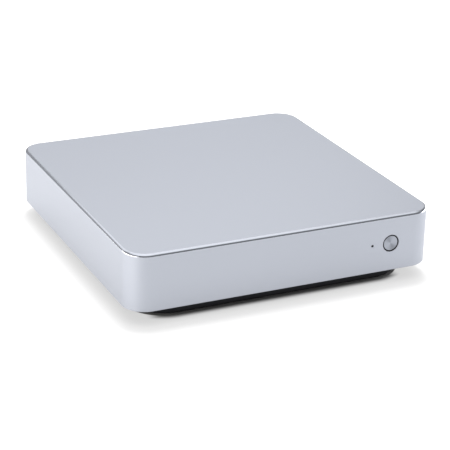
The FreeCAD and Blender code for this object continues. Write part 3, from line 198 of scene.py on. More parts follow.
class StageSettings(bpy.types.PropertyGroup):
    """Floor, light and camera."""

    floor_colour: colour_property("Floor colour", "Colour of the pale floor", (0.3, 0.3, 0.3))
    # The floor's glow is painted light, and the shade and reaches below paint its shadow close to the base
    floor_glow: share_property("Floor glow", "Light that the floor gives off, as a light table does", 0.838)
    shade: share_property("Shade", "Share of the floor's own light that is left close to the player", 0.70)
    shade_start: length_property("Shade start", "Distance from the base where the shade begins to fade", 19.2)
    shade_reach: length_property("Shade reach", "How far from the base the floor is shaded", 48.0)
    contact_reach: length_property("Contact reach", "How far the floor stays dim in front of the base", 5.5)
    beside_reach: length_property("Beside reach", "How far the floor stays dim beside the base", 0.55)
    horizon: amount_property("Horizon", "Light from the dim studio walls", 0.32)
    zenith: amount_property("Zenith", "Light from the pale ceiling", 1.9)
    back_glow: amount_property("Back glow", "Light from the pale back wall", 0.87)
    left_glow: amount_property("Left glow", "Light from the wall behind on the left", 0.30)
    key: amount_property("Key light", "Power of the light above the rear half", 20.0, "POWER")
    side: amount_property("Side light", "Power of the low wide light on the left", 4.4, "POWER")
    far_side: amount_property("Far side light", "Power of the low wide light on the right", 2.2, "POWER")
    side_colour: colour_property("Side colour", "Colour of the light on the left", (1.0, 0.96, 0.90))
    back: amount_property("Back light", "Power of the wide light behind the player", 1.0, "POWER")
    lens: amount_property("Lens", "Focal length on a 36 mm sensor", 127.95, "CAMERA")
    azimuth: angle_property("Azimuth", "Turn of the camera from facing the front", -25.3031)
    elevation: angle_property("Elevation", "How far the camera looks down", 22.7264)
    roll: angle_property("Roll", "How far the camera leans about its own line of sight", 1.4730)


# Materials


def node(tree, kind, inputs=None, **values):
    """Adds a node with its attributes, feeds its inputs with sockets or values and returns its outputs."""
    made = tree.nodes.new(kind)
    for key, value in values.items():
        setattr(made, key, value)
    for key, value in (inputs or {}).items():
        if isinstance(value, bpy.types.NodeSocket):
            tree.links.new(value, made.inputs[key])
        else:
            made.inputs[key].default_value = value
    return made.outputs


def new_group(name, kind, inputs, outputs):
    """Starts a node group with sockets of the given types and returns it with its two ends."""
    tree = bpy.data.node_groups.new(name, kind)
    for in_out, sockets in (("INPUT", inputs), ("OUTPUT", outputs)):
        for title, what in sockets.items():
            tree.interface.new_socket(title, in_out=in_out, socket_type="NodeSocket" + what)
    return tree, node(tree, "NodeGroupInput"), tree.nodes.new("NodeGroupOutput").inputs


def maths(operation, *values):
    """Adds a Math node, fed by a first socket and more sockets or numbers, and returns its output."""
    return node(values[0].id_data, "ShaderNodeMath", dict(enumerate(values)), operation=operation)[0]


def vector_maths(operation, *values):
    """Adds a Vector Math node, fed by a first socket and more sockets or vectors, and returns its outputs."""
    return node(values[0].id_data, "ShaderNodeVectorMath", dict(enumerate(values)), operation=operation)


def place_on_piece(tree):
    """The place on the piece, in the object's own coordinates."""
    return node(tree, "ShaderNodeTexCoord")["Object"]


def separated(vector):
    """A vector's X, Y and Z."""
    return node(vector.id_data, "ShaderNodeSeparateXYZ", {0: vector})


def grain_group():
    """A fine grain and a broad cloudiness, each from nought to one, on the piece's own coordinates."""
    inputs = {"Fine Scale": "Float", "Broad Scale": "Float", "Stretch": "Vector"}
    outputs = {"Fine": "Float", "Broad": "Float"}
    tree, inside, outside = new_group("surface_grain", "ShaderNodeTree", inputs, outputs)
    place = place_on_piece(tree)
    stretched = vector_maths("MULTIPLY", place, inside["Stretch"])[0]
    for name, source, detail in (("Fine", stretched, 2.0), ("Broad", place, 4.0)):
        values = {"Vector": source, "Scale": inside[name + " Scale"], "Detail": detail}
        tree.links.new(node(tree, "ShaderNodeTexNoise", values)["Fac"], outside[name])
    return tree


def rings_group():
    """Turned rings about an axis along Y: their height, a tone from ring to ring and two darker fans of
    painted reflection.
    """
    inputs = {"Centre": "Vector", "Pitch": "Float"}
    outputs = {"Height": "Float", "Tone": "Float", "Painted Reflection": "Float"}
    tree, inside, outside = new_group("turned_rings", "ShaderNodeTree", inputs, outputs)
    offset = vector_maths("SUBTRACT", place_on_piece(tree), inside["Centre"])[0]
    level = vector_maths("MULTIPLY", offset, (1.0, 0.0, 1.0))[0]
    turns = maths("DIVIDE", vector_maths("LENGTH", level)["Value"], inside["Pitch"])
    wave = maths("SINE", maths("MULTIPLY", turns, 2.0 * math.pi))
    noise = node(tree, "ShaderNodeTexNoise", {"W": turns, "Scale": 1.0, "Detail": 3.0}, noise_dimensions="1D")
    # Painted reflection: two opposite darker fans about the axis stand in for the bow-tie that light draws on
    # spun metal
    parts = separated(offset)
    angle = maths("ARCTAN2", parts["Z"], parts["X"])
    lean = maths("MULTIPLY", maths("SUBTRACT", angle, REFLECTION_FAN_ANGLE), 2.0)
    painted_fans = maths("MULTIPLY", maths("ADD", maths("COSINE", lean), 1.0), 0.5)
    tree.links.new(maths("MULTIPLY_ADD", wave, 0.5, 0.5), outside["Height"])
    tree.links.new(noise["Fac"], outside["Tone"])
    tree.links.new(maths("POWER", painted_fans, 2.0), outside["Painted Reflection"])
    return tree


def tracks_group():
    """A board's printed pattern: narrow tracks in right-angled runs, from nought to one."""
    inputs, outputs = {"Scale": "Float"}, {"Track": "Float"}
    tree, inside, outside = new_group("board_tracks", "ShaderNodeTree", inputs, outputs)
    values = {"Vector": place_on_piece(tree), "Scale": inside["Scale"], "Mortar Size": 0.03}
    for name, grey in (("Color1", 0.0), ("Color2", 0.15), ("Mortar", 1.0)):
        values[name] = rgba([grey] * 3)
    tree.links.new(node(tree, "ShaderNodeTexBrick", values)["Color"], outside["Track"])
    return tree


GROUP_MAKERS = {"grain": grain_group, "rings": rings_group, "tracks": tracks_group}
GROUPS = {}


def placed_group(tree, name, values):
    """Places a shared node group in a material with its own values and returns its outputs."""
    if name not in GROUPS:
        GROUPS[name] = GROUP_MAKERS[name]()
    return node(tree, "ShaderNodeGroup", values, node_tree=GROUPS[name])


def rgba(colour):
    """A colour with full opacity."""
    return (*colour, 1.0)


def blend(factor, low, high):
    """Mixes two colours, each a socket or four numbers, by a factor socket and returns the colour."""
    inputs = {"Factor": factor, "A": low, "B": high}
    return node(factor.id_data, "ShaderNodeMix", inputs, data_type="RGBA")["Result"]


def spread(value, low, high):
    """Maps a value from nought to one on to a range and returns it."""
    inputs = {"Value": value, "To Min": low, "To Max": high}
    return node(value.id_data, "ShaderNodeMapRange", inputs)["Result"]


def ramp(value, start, end, low=0.0, high=1.0):
    """Climbs smoothly from low, where the value is at start or less, to high, where it is at end or more."""
    inputs = {"Value": value, "From Min": start, "From Max": end, "To Min": low, "To Max": high}
    return node(value.id_data, "ShaderNodeMapRange", inputs, interpolation_type="SMOOTHSTEP")["Result"]


def worn_edges(tree):
    """The mask of a piece's edges, from the attribute that its mesh carries."""
    return node(tree, "ShaderNodeAttribute", attribute_name="edge")["Fac"]


def shade(colour, factor):
    """A colour made darker or lighter by a factor, kept within range."""
    return rgba(min(1.0, channel * factor) for channel in colour)


def finish_material(
    name, colour, roughness, metallic=0.0, fine=2500.0, broad=18.0, stretch=(1.0, 1.0, 1.0), tone=0.06,
    bump=0.1, bump_depth=0.02 * MM, wear=0.0, polish=0.0, specular=0.5, coat=0.0, rings=None, tracks=None,
):
    """A finish with grain, cloudy tone, soft changes of gloss, a fine bump and lighter worn edges; turned
    rings add painted reflection.
    """
    material = bpy.data.materials.new(name)
    material.use_nodes = True
    tree = material.node_tree
    tree.nodes.clear()
    grain = placed_group(tree, "grain", {"Fine Scale": fine, "Broad Scale": broad, "Stretch": stretch})
    both = maths("MULTIPLY", maths("ADD", grain["Fine"], grain["Broad"]), 0.5)
    height, face = grain["Fine"], both
    if rings:
        lathe = placed_group(tree, "rings", rings)
        height = maths("ADD", lathe["Height"], lathe["Tone"])
        face = maths("MULTIPLY", maths("ADD", both, lathe["Tone"]), 0.5)
    surface = blend(face, shade(colour, 1.0 - tone), shade(colour, 1.0 + tone))
    # Painted reflection: the fans darken the spun metal's colour in two opposite sectors
    if rings:
        surface = blend(lathe["Painted Reflection"], surface, shade(colour, PAINTED_REFLECTION_TONE))
    if tracks:
        track = placed_group(tree, "tracks", {"Scale": tracks})["Track"]
        strength = maths("MULTIPLY", track, TRACK_STRENGTH)
        surface = blend(strength, surface, shade(colour, TRACK_TONE))
    if wear:
        rubbed = maths("MULTIPLY", worn_edges(tree), spread(grain["Broad"], 0.0, wear))
        surface = blend(rubbed, surface, shade([channel + WORN_LIFT for channel in colour], WORN_TONE))
    dull = spread(both, roughness - GLOSS_SWING, roughness + GLOSS_SWING)
    if polish:
        dull = maths("SUBTRACT", dull, maths("MULTIPLY", worn_edges(tree), polish))
    relief = node(tree, "ShaderNodeBump", {"Strength": bump, "Distance": bump_depth, "Height": height})
    values = {
        "Base Color": surface,
        "Roughness": dull,
        "Normal": relief["Normal"],
        "Metallic": metallic,
        "Specular IOR Level": specular,
        "Coat Weight": coat,
    }
    shader = node(tree, "ShaderNodeBsdfPrincipled", values)
    node(tree, "ShaderNodeOutputMaterial", {"Surface": shader["BSDF"]})
    return material


def case_finishes(scene):
    """The finishes of the cover, the base and the front controls."""
    cover, base, button = scene.player_cover, scene.player_base, scene.player_button
    return {
        "cover_metal": dict(
            colour=tuple(cover.colour), roughness=cover.roughness, metallic=1.0, fine=2600.0, broad=9.0,
            tone=0.025, bump=0.16, bump_depth=0.03 * MM, polish=cover.polish,
        ),
        "base_black": dict(
            colour=tuple(base.colour), roughness=0.34, fine=1700.0, tone=0.15, bump=0.12, wear=0.25,
            specular=0.10,
        ),
        "foot_rubber": dict(colour=(0.02, 0.02, 0.021), roughness=0.85, fine=1500.0, tone=0.25, bump=0.35),
        # The button's turned rings carry painted reflection: two darker fans across its face
        "button_metal": dict(
            colour=tuple(button.colour), roughness=0.3, metallic=1.0, tone=0.18, bump=0.5,
            rings={"Centre": tuple(middle_of("power_button")), "Pitch": button.ring_pitch},
        ),
        "inner_black": dict(
            colour=(0.010, 0.010, 0.012), roughness=0.5, tone=0.15, bump=0.12, wear=0.2, specular=0.2,
        ),
        "plunger_grey": dict(colour=(0.35, 0.33, 0.30), roughness=0.5, bump=0.08),
        "lens_smoke": dict(
            colour=(0.008, 0.008, 0.009), roughness=0.2, tone=0.2, bump=0.01, specular=0.2, coat=0.05,
        ),
        "led_white": dict(colour=(0.8, 0.8, 0.76), roughness=0.3),
        "screw_steel": dict(
            colour=(0.045, 0.045, 0.048), roughness=0.36, metallic=1.0, tone=0.25, bump=0.1, wear=0.6,
        ),
    }


def socket_finishes(scene):
    """The finishes of the socket panel and the sockets."""
    return {
        "panel_black": dict(
            colour=tuple(scene.player_sockets.colour), roughness=0.55, fine=1300.0, tone=0.2, bump=0.4,
            bump_depth=0.06 * MM, wear=0.25,
        ),
        "socket_black": dict(colour=(0.012, 0.012, 0.0125), roughness=0.42, tone=0.15, bump=0.1, wear=0.2),
        "socket_metal": dict(
            colour=(0.70, 0.69, 0.67), roughness=0.24, metallic=1.0, fine=1800.0, stretch=ALONG_X, tone=0.08,
            bump=0.06, wear=0.15,
        ),
        "contact_gold": dict(colour=(0.80, 0.58, 0.22), roughness=0.22, metallic=1.0, tone=0.08, bump=0.05),
        "line_white": dict(colour=(0.82, 0.81, 0.78), roughness=0.32, tone=0.03, bump=0.05, wear=0.1),
        "line_red": dict(colour=(0.55, 0.016, 0.018), roughness=0.32, tone=0.06, bump=0.05, wear=0.1),
    }


def inside_finishes():
    """The finishes of the boards, the chips and the drive."""
    return {
        "board_green": dict(colour=(0.016, 0.115, 0.05), roughness=0.35, bump=0.1, tracks=260.0, coat=0.2),
        "chip_black": dict(colour=(0.018, 0.018, 0.02), roughness=0.6, tone=0.2, bump=0.3),
        "pad_grey": dict(colour=(0.3, 0.32, 0.36), roughness=0.8, tone=0.1, bump=0.3),
        "sink_black": dict(
            colour=(0.05, 0.05, 0.055), roughness=0.45, metallic=1.0, stretch=ALONG_Y, tone=0.2,
        ),
        "pin_white": dict(colour=(0.75, 0.74, 0.7), roughness=0.5),
        "can_metal": dict(colour=(0.66, 0.66, 0.67), roughness=0.28, metallic=1.0, tone=0.08),
        "ribbon_grey": dict(
            colour=(0.45, 0.45, 0.47), roughness=0.55, fine=900.0, stretch=RIBBON_WIRES, bump=0.4,
        ),
        "drive_cast": dict(colour=(0.5, 0.5, 0.51), roughness=0.42, metallic=1.0, tone=0.1, bump=0.2),
        "drive_steel": dict(
            colour=(0.55, 0.55, 0.56), roughness=0.3, metallic=1.0, stretch=ALONG_X, tone=0.1,
        ),
    }


MATERIALS = {}


# Mesh tools


def linked(name, data):
    """A new object at the origin that holds a mesh, a lamp or a camera."""
    made = bpy.data.objects.new(name, data)
    bpy.context.scene.collection.objects.link(made)
    return made


def from_bmesh(name, bm):
    """A new object from a finished bmesh, with its faces turned outwards."""
    bmesh.ops.recalc_face_normals(bm, faces=bm.faces)
    mesh = bpy.data.meshes.new(name)
    bm.to_mesh(mesh)
    bm.free()
    return linked(name, mesh)


def joined_copy(node_name):
    """A bmesh of a CAD node with its loose triangles joined."""
    bm = bmesh.new()
    bm.from_mesh(NODES[node_name].data)
    bmesh.ops.remove_doubles(bm, verts=bm.verts, dist=MERGE_DISTANCE)
    return bm


def plain(piece):
    """Turns a piece's modifiers into plain mesh."""
    depsgraph = bpy.context.evaluated_depsgraph_get()
    mesh = bpy.data.meshes.new_from_object(piece.evaluated_get(depsgraph), depsgraph=depsgraph)
    old = piece.data
    piece.modifiers.clear()
    piece.data = mesh
    bpy.data.meshes.remove(old)


def mark_edges(mesh):
    """Writes the attribute that the worn edges follow: one where faces turn at a point, nought on flats."""
    bm = bmesh.new()
    bm.from_mesh(mesh)
    turn = math.cos(WORN_ANGLE)
    values = []
    for vertex in bm.verts:
        normals = [face.normal for face in vertex.link_faces]
        sharp = any(a.dot(b) < turn for index, a in enumerate(normals) for b in normals[:index])
        values.append(1.0 if sharp else 0.0)
    bm.free()
    attribute = mesh.attributes.get("edge") or mesh.attributes.new("edge", "FLOAT", "POINT")
    attribute.data.foreach_set("value", values)


def soften(piece, width=0.0, segments=2):
    """Rounds a piece's edges, marks them for wear and shades its flats flat and its rounds smooth."""
    if width:
        bevel = piece.modifiers.new("edge", "BEVEL")
        bevel.width = width
        bevel.segments = segments
        bevel.limit_method = "ANGLE"
        bevel.angle_limit = BEVEL_ANGLE
        bevel.use_clamp_overlap = True
        plain(piece)
    mark_edges(piece.data)
    piece.data.shade_smooth()
    piece.data.set_sharp_from_angle(angle=SHARP_ANGLE)
    weighted = piece.modifiers.new("flats", "WEIGHTED_NORMAL")
    weighted.keep_sharp = True
    weighted.weight = 90
    plain(piece)


def carve(piece, cutters):
    """Cuts the cutters out of a piece and takes them away."""
    for cutter in cutters:
        cut = piece.modifiers.new(cutter.name, "BOOLEAN")
        cut.operation = "DIFFERENCE"
        cut.solver = "EXACT"
        cut.object = cutter
    bpy.context.view_layer.update()
    plain(piece)
    for cutter in cutters:
        bpy.data.meshes.remove(cutter.data)


def settle(piece, slot_name, body, *nodes):
    """Gives a piece the material of its slot and its body, and hides the CAD nodes that it stands for."""
    piece.data.materials.clear()
    piece.data.materials.append(MATERIALS[slot_name])
    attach(piece, body)
    if nodes:
        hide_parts(*nodes)


def dressed(node_name, name, width, segments=2):
    """A finer copy of a CAD node: its loose triangles joined, its flats merged and its edges rounded."""
    bm = joined_copy(node_name)
    bmesh.ops.dissolve_limit(bm, angle_limit=FLAT_ANGLE, verts=bm.verts, edges=bm.edges)
    piece = from_bmesh(name, bm)
    soften(piece, width, segments)
    settle(piece, SLOT_OF[node_name], BODY_OF[node_name], node_name)


def ring_points(half_x, half_y, radius, steps):
    """The points of a round-cornered outline about the origin."""
    points = []
    for quarter, (sign_x, sign_y) in enumerate(((1, 1), (-1, 1), (-1, -1), (1, -1))):
        for step in range(steps + 1):
            angle = math.pi / 2 * (quarter + step / steps)
            x = sign_x * (half_x - radius) + radius * math.cos(angle)
            points.append((x, sign_y * (half_y - radius) + radius * math.sin(angle)))
    return points


def skin(bm, loops):
    """Joins each ring of points to the next with faces. A ring of one point is a pole."""
    for near, far in zip(loops, loops[1:]):
        for index in range(max(len(near), len(far))):
            corners = [near[(index - 1) % len(near)], near[index % len(near)]]
            corners += [far[index % len(far)], far[(index - 1) % len(far)]]
            bm.faces.new(list(dict.fromkeys(corners)))


def stacked(name, rings):
    """A closed solid through a stack of outlines with equal numbers of points."""
    bm = bmesh.new()
    loops = [[bm.verts.new(point) for point in ring] for ring in rings]
    skin(bm, loops)
    bm.faces.new(loops[0])
    bm.faces.new(loops[-1])
    return from_bmesh(name, bm)


def circle(bm, radius, y, centre, steps):
    """A ring of points about an axis along Y, or its pole where the radius is nought."""
    if radius < POLE_RADIUS:
        return [bm.verts.new((centre.x, y, centre.z))]
    points = []
    for angle in (2 * math.pi * step / steps for step in range(steps)):
        x, z = radius * math.cos(angle), radius * math.sin(angle)
        points.append(bm.verts.new((centre.x + x, y, centre.z + z)))
    return points


def turned(name, profile, centre=Vector(), steps=64):
    """A solid turned about an axis along Y. Its profile of radii and their y is closed or joins two poles."""
    bm = bmesh.new()
    closed = profile[0] == profile[-1]
    points = profile[:-1] if closed else profile
    loops = [circle(bm, radius, y, centre, steps) for radius, y in points]
    skin(bm, loops + loops[:1] if closed else loops)
    return from_bmesh(name, bm)


def arc(end, steps):
    """The sine, and the rise from nought, at each step along an arc of radius one."""
    angles = [end * step / steps for step in range(steps + 1)]
    return [(math.sin(angle), 1 - math.cos(angle)) for angle in angles]


def rounded_step(radius_in, radius_out, y_face, y_side, edge, steps=4):
    """A profile round an outer edge: from the face at y_face, round the edge, to the side towards y_side."""
    inner, way = radius_out - edge, math.copysign(edge, y_side - y_face)
    points = [(inner + edge * sine, y_face + way * rise) for sine, rise in arc(math.pi / 2, steps)]
    return [(radius_in, y_face), *points, (radius_out, y_side)]


def middle_of(node_name):
    """The middle of a CAD node's box."""
    low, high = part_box(node_name)
    return (low + high) / 2


def box_round(points):
    """The low and high corners of the box round some points."""
    low = Vector([min(point[axis] for point in points) for axis in range(3)])
    return low, Vector([max(point[axis] for point in points) for axis in range(3)])


def solids_of(node_name):
    """The low and high corners of each separate solid of a CAD node, in order along X."""
    bm = joined_copy(node_name)
    left = set(bm.verts)
    boxes = []
    while left:
        waiting = [left.pop()]
        found = list(waiting)
        while waiting:
            near = {vertex for edge in waiting.pop().link_edges for vertex in edge.verts} & left
            left -= near
            waiting += near
            found += near
        boxes.append(box_round([vertex.co for vertex in found]))
    bm.free()
    return sorted(boxes, key=lambda box: (round(box[0].x, 5), round(box[0].y, 5)))


def pair_of(node_name):
    """The low and high corners of the first of a node's two like solids, and the step to the second."""
    (low, high), (second_low, _) = solids_of(node_name)
    return low, high, second_low - low


def corner_places(node_name):
    """The first place and the two steps of four like solids that stand at the corners of a rectangle."""
    low, high = box_round([(solid_low + solid_high) / 2 for solid_low, solid_high in solids_of(node_name)])
    return low, (high.x - low.x, 0.0, 0.0), (0.0, high.y - low.y, 0.0)


def grid_tree():
    """Geometry nodes that repeat the piece's own mesh on a grid of places."""
    tree = bpy.data.node_groups.get("repeat_on_grid")
    if tree:
        return tree
    inputs = {"Geometry": "Geometry", "Start": "Vector", "Material": "Material"}
    for name in ("Column", "Row"):
        inputs.update({name + " Count": "Int", name + " Step": "Vector"})
    tree, inside, outside = new_group("repeat_on_grid", "GeometryNodeTree", inputs, {"Geometry": "Geometry"})
    across = {"Count": inside["Column Count"], "Offset": inside["Column Step"]}
    along = {"Count": inside["Row Count"], "Offset": inside["Row Step"], "Start Location": inside["Start"]}
    column, row = (node(tree, "GeometryNodeMeshLine", line, mode="OFFSET")[0] for line in (across, along))
    places = node(tree, "GeometryNodeInstanceOnPoints", {"Points": row, "Instance": column})[0]
    spots = node(tree, "GeometryNodeRealizeInstances", {0: places})[0]
    copies = node(tree, "GeometryNodeInstanceOnPoints", {"Points": spots, "Instance": inside["Geometry"]})[0]
    real = node(tree, "GeometryNodeRealizeInstances", {0: copies})[0]
    coloured = node(tree, "GeometryNodeSetMaterial", {"Geometry": real, "Material": inside["Material"]})[0]
    tree.links.new(coloured, outside["Geometry"])
    return tree


def repeated(piece, slot_name, start, columns, column_step, rows=1, row_step=(0.0, 0.0, 0.0)):
    """Repeats a piece that is drawn about the origin on a grid of places, as one plain mesh."""
    tree = grid_tree()
    modifier = piece.modifiers.new("places", "NODES")
    modifier.node_group = tree
    values = {
        "Start": tuple(start),
        "Column Count": columns,
        "Column Step": tuple(column_step),
        "Row Count": rows,
        "Row Step": tuple(row_step),
        "Material": MATERIALS[slot_name],
    }
    for item in tree.interface.items_tree:
        if item.in_out == "INPUT" and item.name in values:
            modifier[item.identifier] = values[item.name]
    piece.update_tag()
    bpy.context.view_layer.update()
    plain(piece)


# Operators


class PLAYER_OT_finishes(bpy.types.Operator):
    """Builds the finishes of every material slot and gives them to the CAD pieces"""

    bl_idname = "player.finishes"
    bl_label = "Finishes"

    def execute(self, context):
        scene = context.scene
        finishes = {**case_finishes(scene), **socket_finishes(scene), **inside_finishes()}
        for slot_name, values in finishes.items():
            MATERIALS[slot_name] = finish_material(slot_name, **values)
        for node_name, cad in NODES.items():
            cad.data.materials.clear()
            cad.data.materials.append(MATERIALS[SLOT_OF[node_name]])
        return {"FINISHED"}


class PLAYER_OT_cover(bpy.types.Operator):
    """Builds the metal cover: round corners, rolled roof edge, button and light holes and the rear notch"""

    bl_idname = "player.cover"
    bl_label = "Cover"

    def execute(self, context):
        sizes = context.scene.player_cover
        low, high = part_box("top_cover")
        centre = (low + high) / 2
        half_x, half_y = (high.x - low.x) / 2, (high.y - low.y) / 2
        radius, edge, wall = sizes.corner_radius, sizes.edge_radius, sizes.wall

        def ring(inset, z):
            outline = ring_points(half_x - inset, half_y - inset, radius - inset, sizes.corner_steps)
            return [(centre.x + x, centre.y + y, z) for x, y in outline]

        rings = [ring(sizes.lower_chamfer, low.z), ring(0.0, low.z + sizes.lower_chamfer)]
        for sine, rise in arc(math.pi / 2, sizes.edge_steps):
            rings.append(ring(edge * rise, high.z - edge * (1 - sine)))
        shell = stacked("cover_shell", rings)
        button, light = middle_of("power_button"), middle_of("status_lens")
        front, back = low.y, low.y + 2 * wall
        cutters = (
            stacked("hollow", [ring(wall, low.z - wall), ring(wall, high.z - wall)]),
            self.hole("button_hole", button, sizes.hole_radius, sizes.hole_chamfer, front, back),
            self.hole("light_hole", light, sizes.light_radius, sizes.light_chamfer, front, back),
            self.notch(sizes, high.y),
        )
        carve(shell, cutters)
        soften(shell)
        self.mark_rolled(shell.data, high.z - edge, high.z)
        settle(shell, "cover_metal", "case", "top_cover")
        return {"FINISHED"}

    def hole(self, name, centre, radius, chamfer, front, back):
        """The cutter of a round hole in the front wall, with a broken outer edge."""
        profile = [(0.0, front - chamfer), (radius + 2 * chamfer, front - chamfer), (radius, front + chamfer)]
        profile += [(radius, back), (0.0, back)]
        return turned(name, profile, centre, 96)

    def notch(self, sizes, back):
        """The cutter of the notch that the socket panel fills."""
        low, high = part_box("rear_panel")
        side, top = high.x - sizes.panel_lip, high.z - sizes.panel_lip
        floor = low.z - 2 * sizes.notch_radius
        half = (top - floor) / 2
        outline = ring_points(side, half, sizes.notch_radius, sizes.notch_steps)
        faces = (back - 2 * sizes.wall, back + sizes.wall)
        return stacked("notch", [[(x, y, floor + half + z) for x, z in outline] for y in faces])

    def mark_rolled(self, mesh, foot, top):
        """Writes the edge attribute: one on the rolled edge of the roof, nought elsewhere."""
        slack = (top - foot) / 100
        values = [1.0 if foot + slack < vertex.co.z < top - slack else 0.0 for vertex in mesh.vertices]
        mesh.attributes["edge"].data.foreach_set("value", values)


class PLAYER_OT_base(bpy.types.Operator):
    """Builds the black base, its rubber pads and the cover screws"""

    bl_idname = "player.base"
    bl_label = "Base"

    def execute(self, context):
        sizes = context.scene.player_base
        dressed("base_tray", "base_shell", sizes.bevel, 3)
        self.pads(sizes)
        self.screws(sizes)
        return {"FINISHED"}

    def four(self, piece, slot_name, node_name):
        """Stands a piece that is drawn along Y upright at the places of a node's four solids."""
        piece.data.transform(Matrix.Rotation(math.pi / 2, 4, "X"))
        start, across, along = corner_places(node_name)
        repeated(piece, slot_name, start, 2, across, 2, along)
        soften(piece)
        settle(piece, slot_name, "case", node_name)

    def pads(self, sizes):
        """Four rubber pads with soft edges and a shallow hollow in the tread."""
        low, high = solids_of("foot_pads")[0]
        radius, half = (high.x - low.x) / 2, (high.z - low.z) / 2
        edge = sizes.pad_edge
        hollow, bottom = radius * sizes.pad_hollow, edge / 2 - half
        profile = [(0.0, bottom), (hollow, bottom), (hollow + edge, -half)]
        profile += rounded_step(hollow + edge * 1.5, radius, -half, half, edge)
        profile.append((0.0, half))
        self.four(turned("rubber_pads", profile, steps=56), "foot_rubber", "foot_pads")

    def screws(self, sizes):
        """Four countersunk screws with a cross recess, seen from below."""
        low, high = solids_of("cover_screws")[0]
        radius, half = (high.x - low.x) / 2, (high.z - low.z) / 2
        shank, head = radius * 0.53, radius * 0.7
        face, lip = radius * 0.96, radius * 0.05
        profile = [(0.0, -half), (face, -half), (radius, -half + lip)]
        profile += [(shank, -half + head), (shank, half - shank), (0.0, half)]
        screw = turned("cross_screws", profile, steps=40)
        carve(screw, [self.slot(sizes.cross_width, radius, -half, turn) for turn in (0.0, math.pi / 2)])
        self.four(screw, "screw_steel", "cover_screws")

    def slot(self, width, radius, face, turn):
        """The cutter of one arm of a cross recess, which narrows towards its bottom."""
        reach, deep = radius * 0.62, radius * 0.5
        bottom_reach, bottom_width = 0.45, 0.67
        rings = []
        for y, long, wide in ((face - deep, 1.0, 1.0), (face + deep, bottom_reach, bottom_width)):
            x, z = reach * long, width / 2 * wide
            rings.append([(-x, y, -z), (x, y, -z), (x, y, z), (-x, y, z)])
        cutter = stacked("cross", rings)
        cutter.data.transform(Matrix.Rotation(turn, 4, "Y"))
        return cutter


class PLAYER_OT_button(bpy.types.Operator):
    """Builds the spun button cap, its guide sleeve and the light pipe"""

    bl_idname = "player.button"
    bl_label = "Button and light"

    def execute(self, context):
        self.cap(context.scene.player_button)
        dressed("button_guide", "button_sleeve", FINE_EDGE)
        self.light()
        return {"FINISHED"}

    def cap(self, sizes):
        """The cap with a shallow dish inside a plain rim."""
        low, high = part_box("power_button")
        centre, radius = (low + high) / 2, (high.x - low.x) / 2
        inner = radius - sizes.rim
        profile = []
        for step in range(sizes.dish_steps + 1):
            share = step / sizes.dish_steps
            profile.append((inner * share, low.y + sizes.dish * (1 - share ** 2)))
        profile += rounded_step(inner + sizes.rim / 5, radius, low.y, high.y, sizes.edge)
        profile.append((0.0, high.y))
        cap = turned("button_cap", profile, centre, 96)
        soften(cap)
        settle(cap, "button_metal", "button", "power_button")

    def light(self):
        """The light pipe with a domed face in the pin-sized hole."""
        low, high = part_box("status_lens")
        centre, radius = (low + high) / 2, (high.x - low.x) / 2
        dome, sag = math.pi / 3, radius * 0.35
        profile = [(radius * sine / math.sin(dome), low.y + sag * rise) for sine, rise in arc(dome, 6)]
        profile += [(radius, high.y), (0.0, high.y)]
        pipe = turned("light_pipe", profile, centre, 40)
        soften(pipe)
        settle(pipe, "lens_smoke", "case", "status_lens")


class PLAYER_OT_panel(bpy.types.Operator):
    """Builds the textured socket panel"""

    bl_idname = "player.panel"
    bl_label = "Socket panel"

    def execute(self, context):
        dressed("rear_panel", "socket_panel", context.scene.player_sockets.panel_bevel)
        return {"FINISHED"}


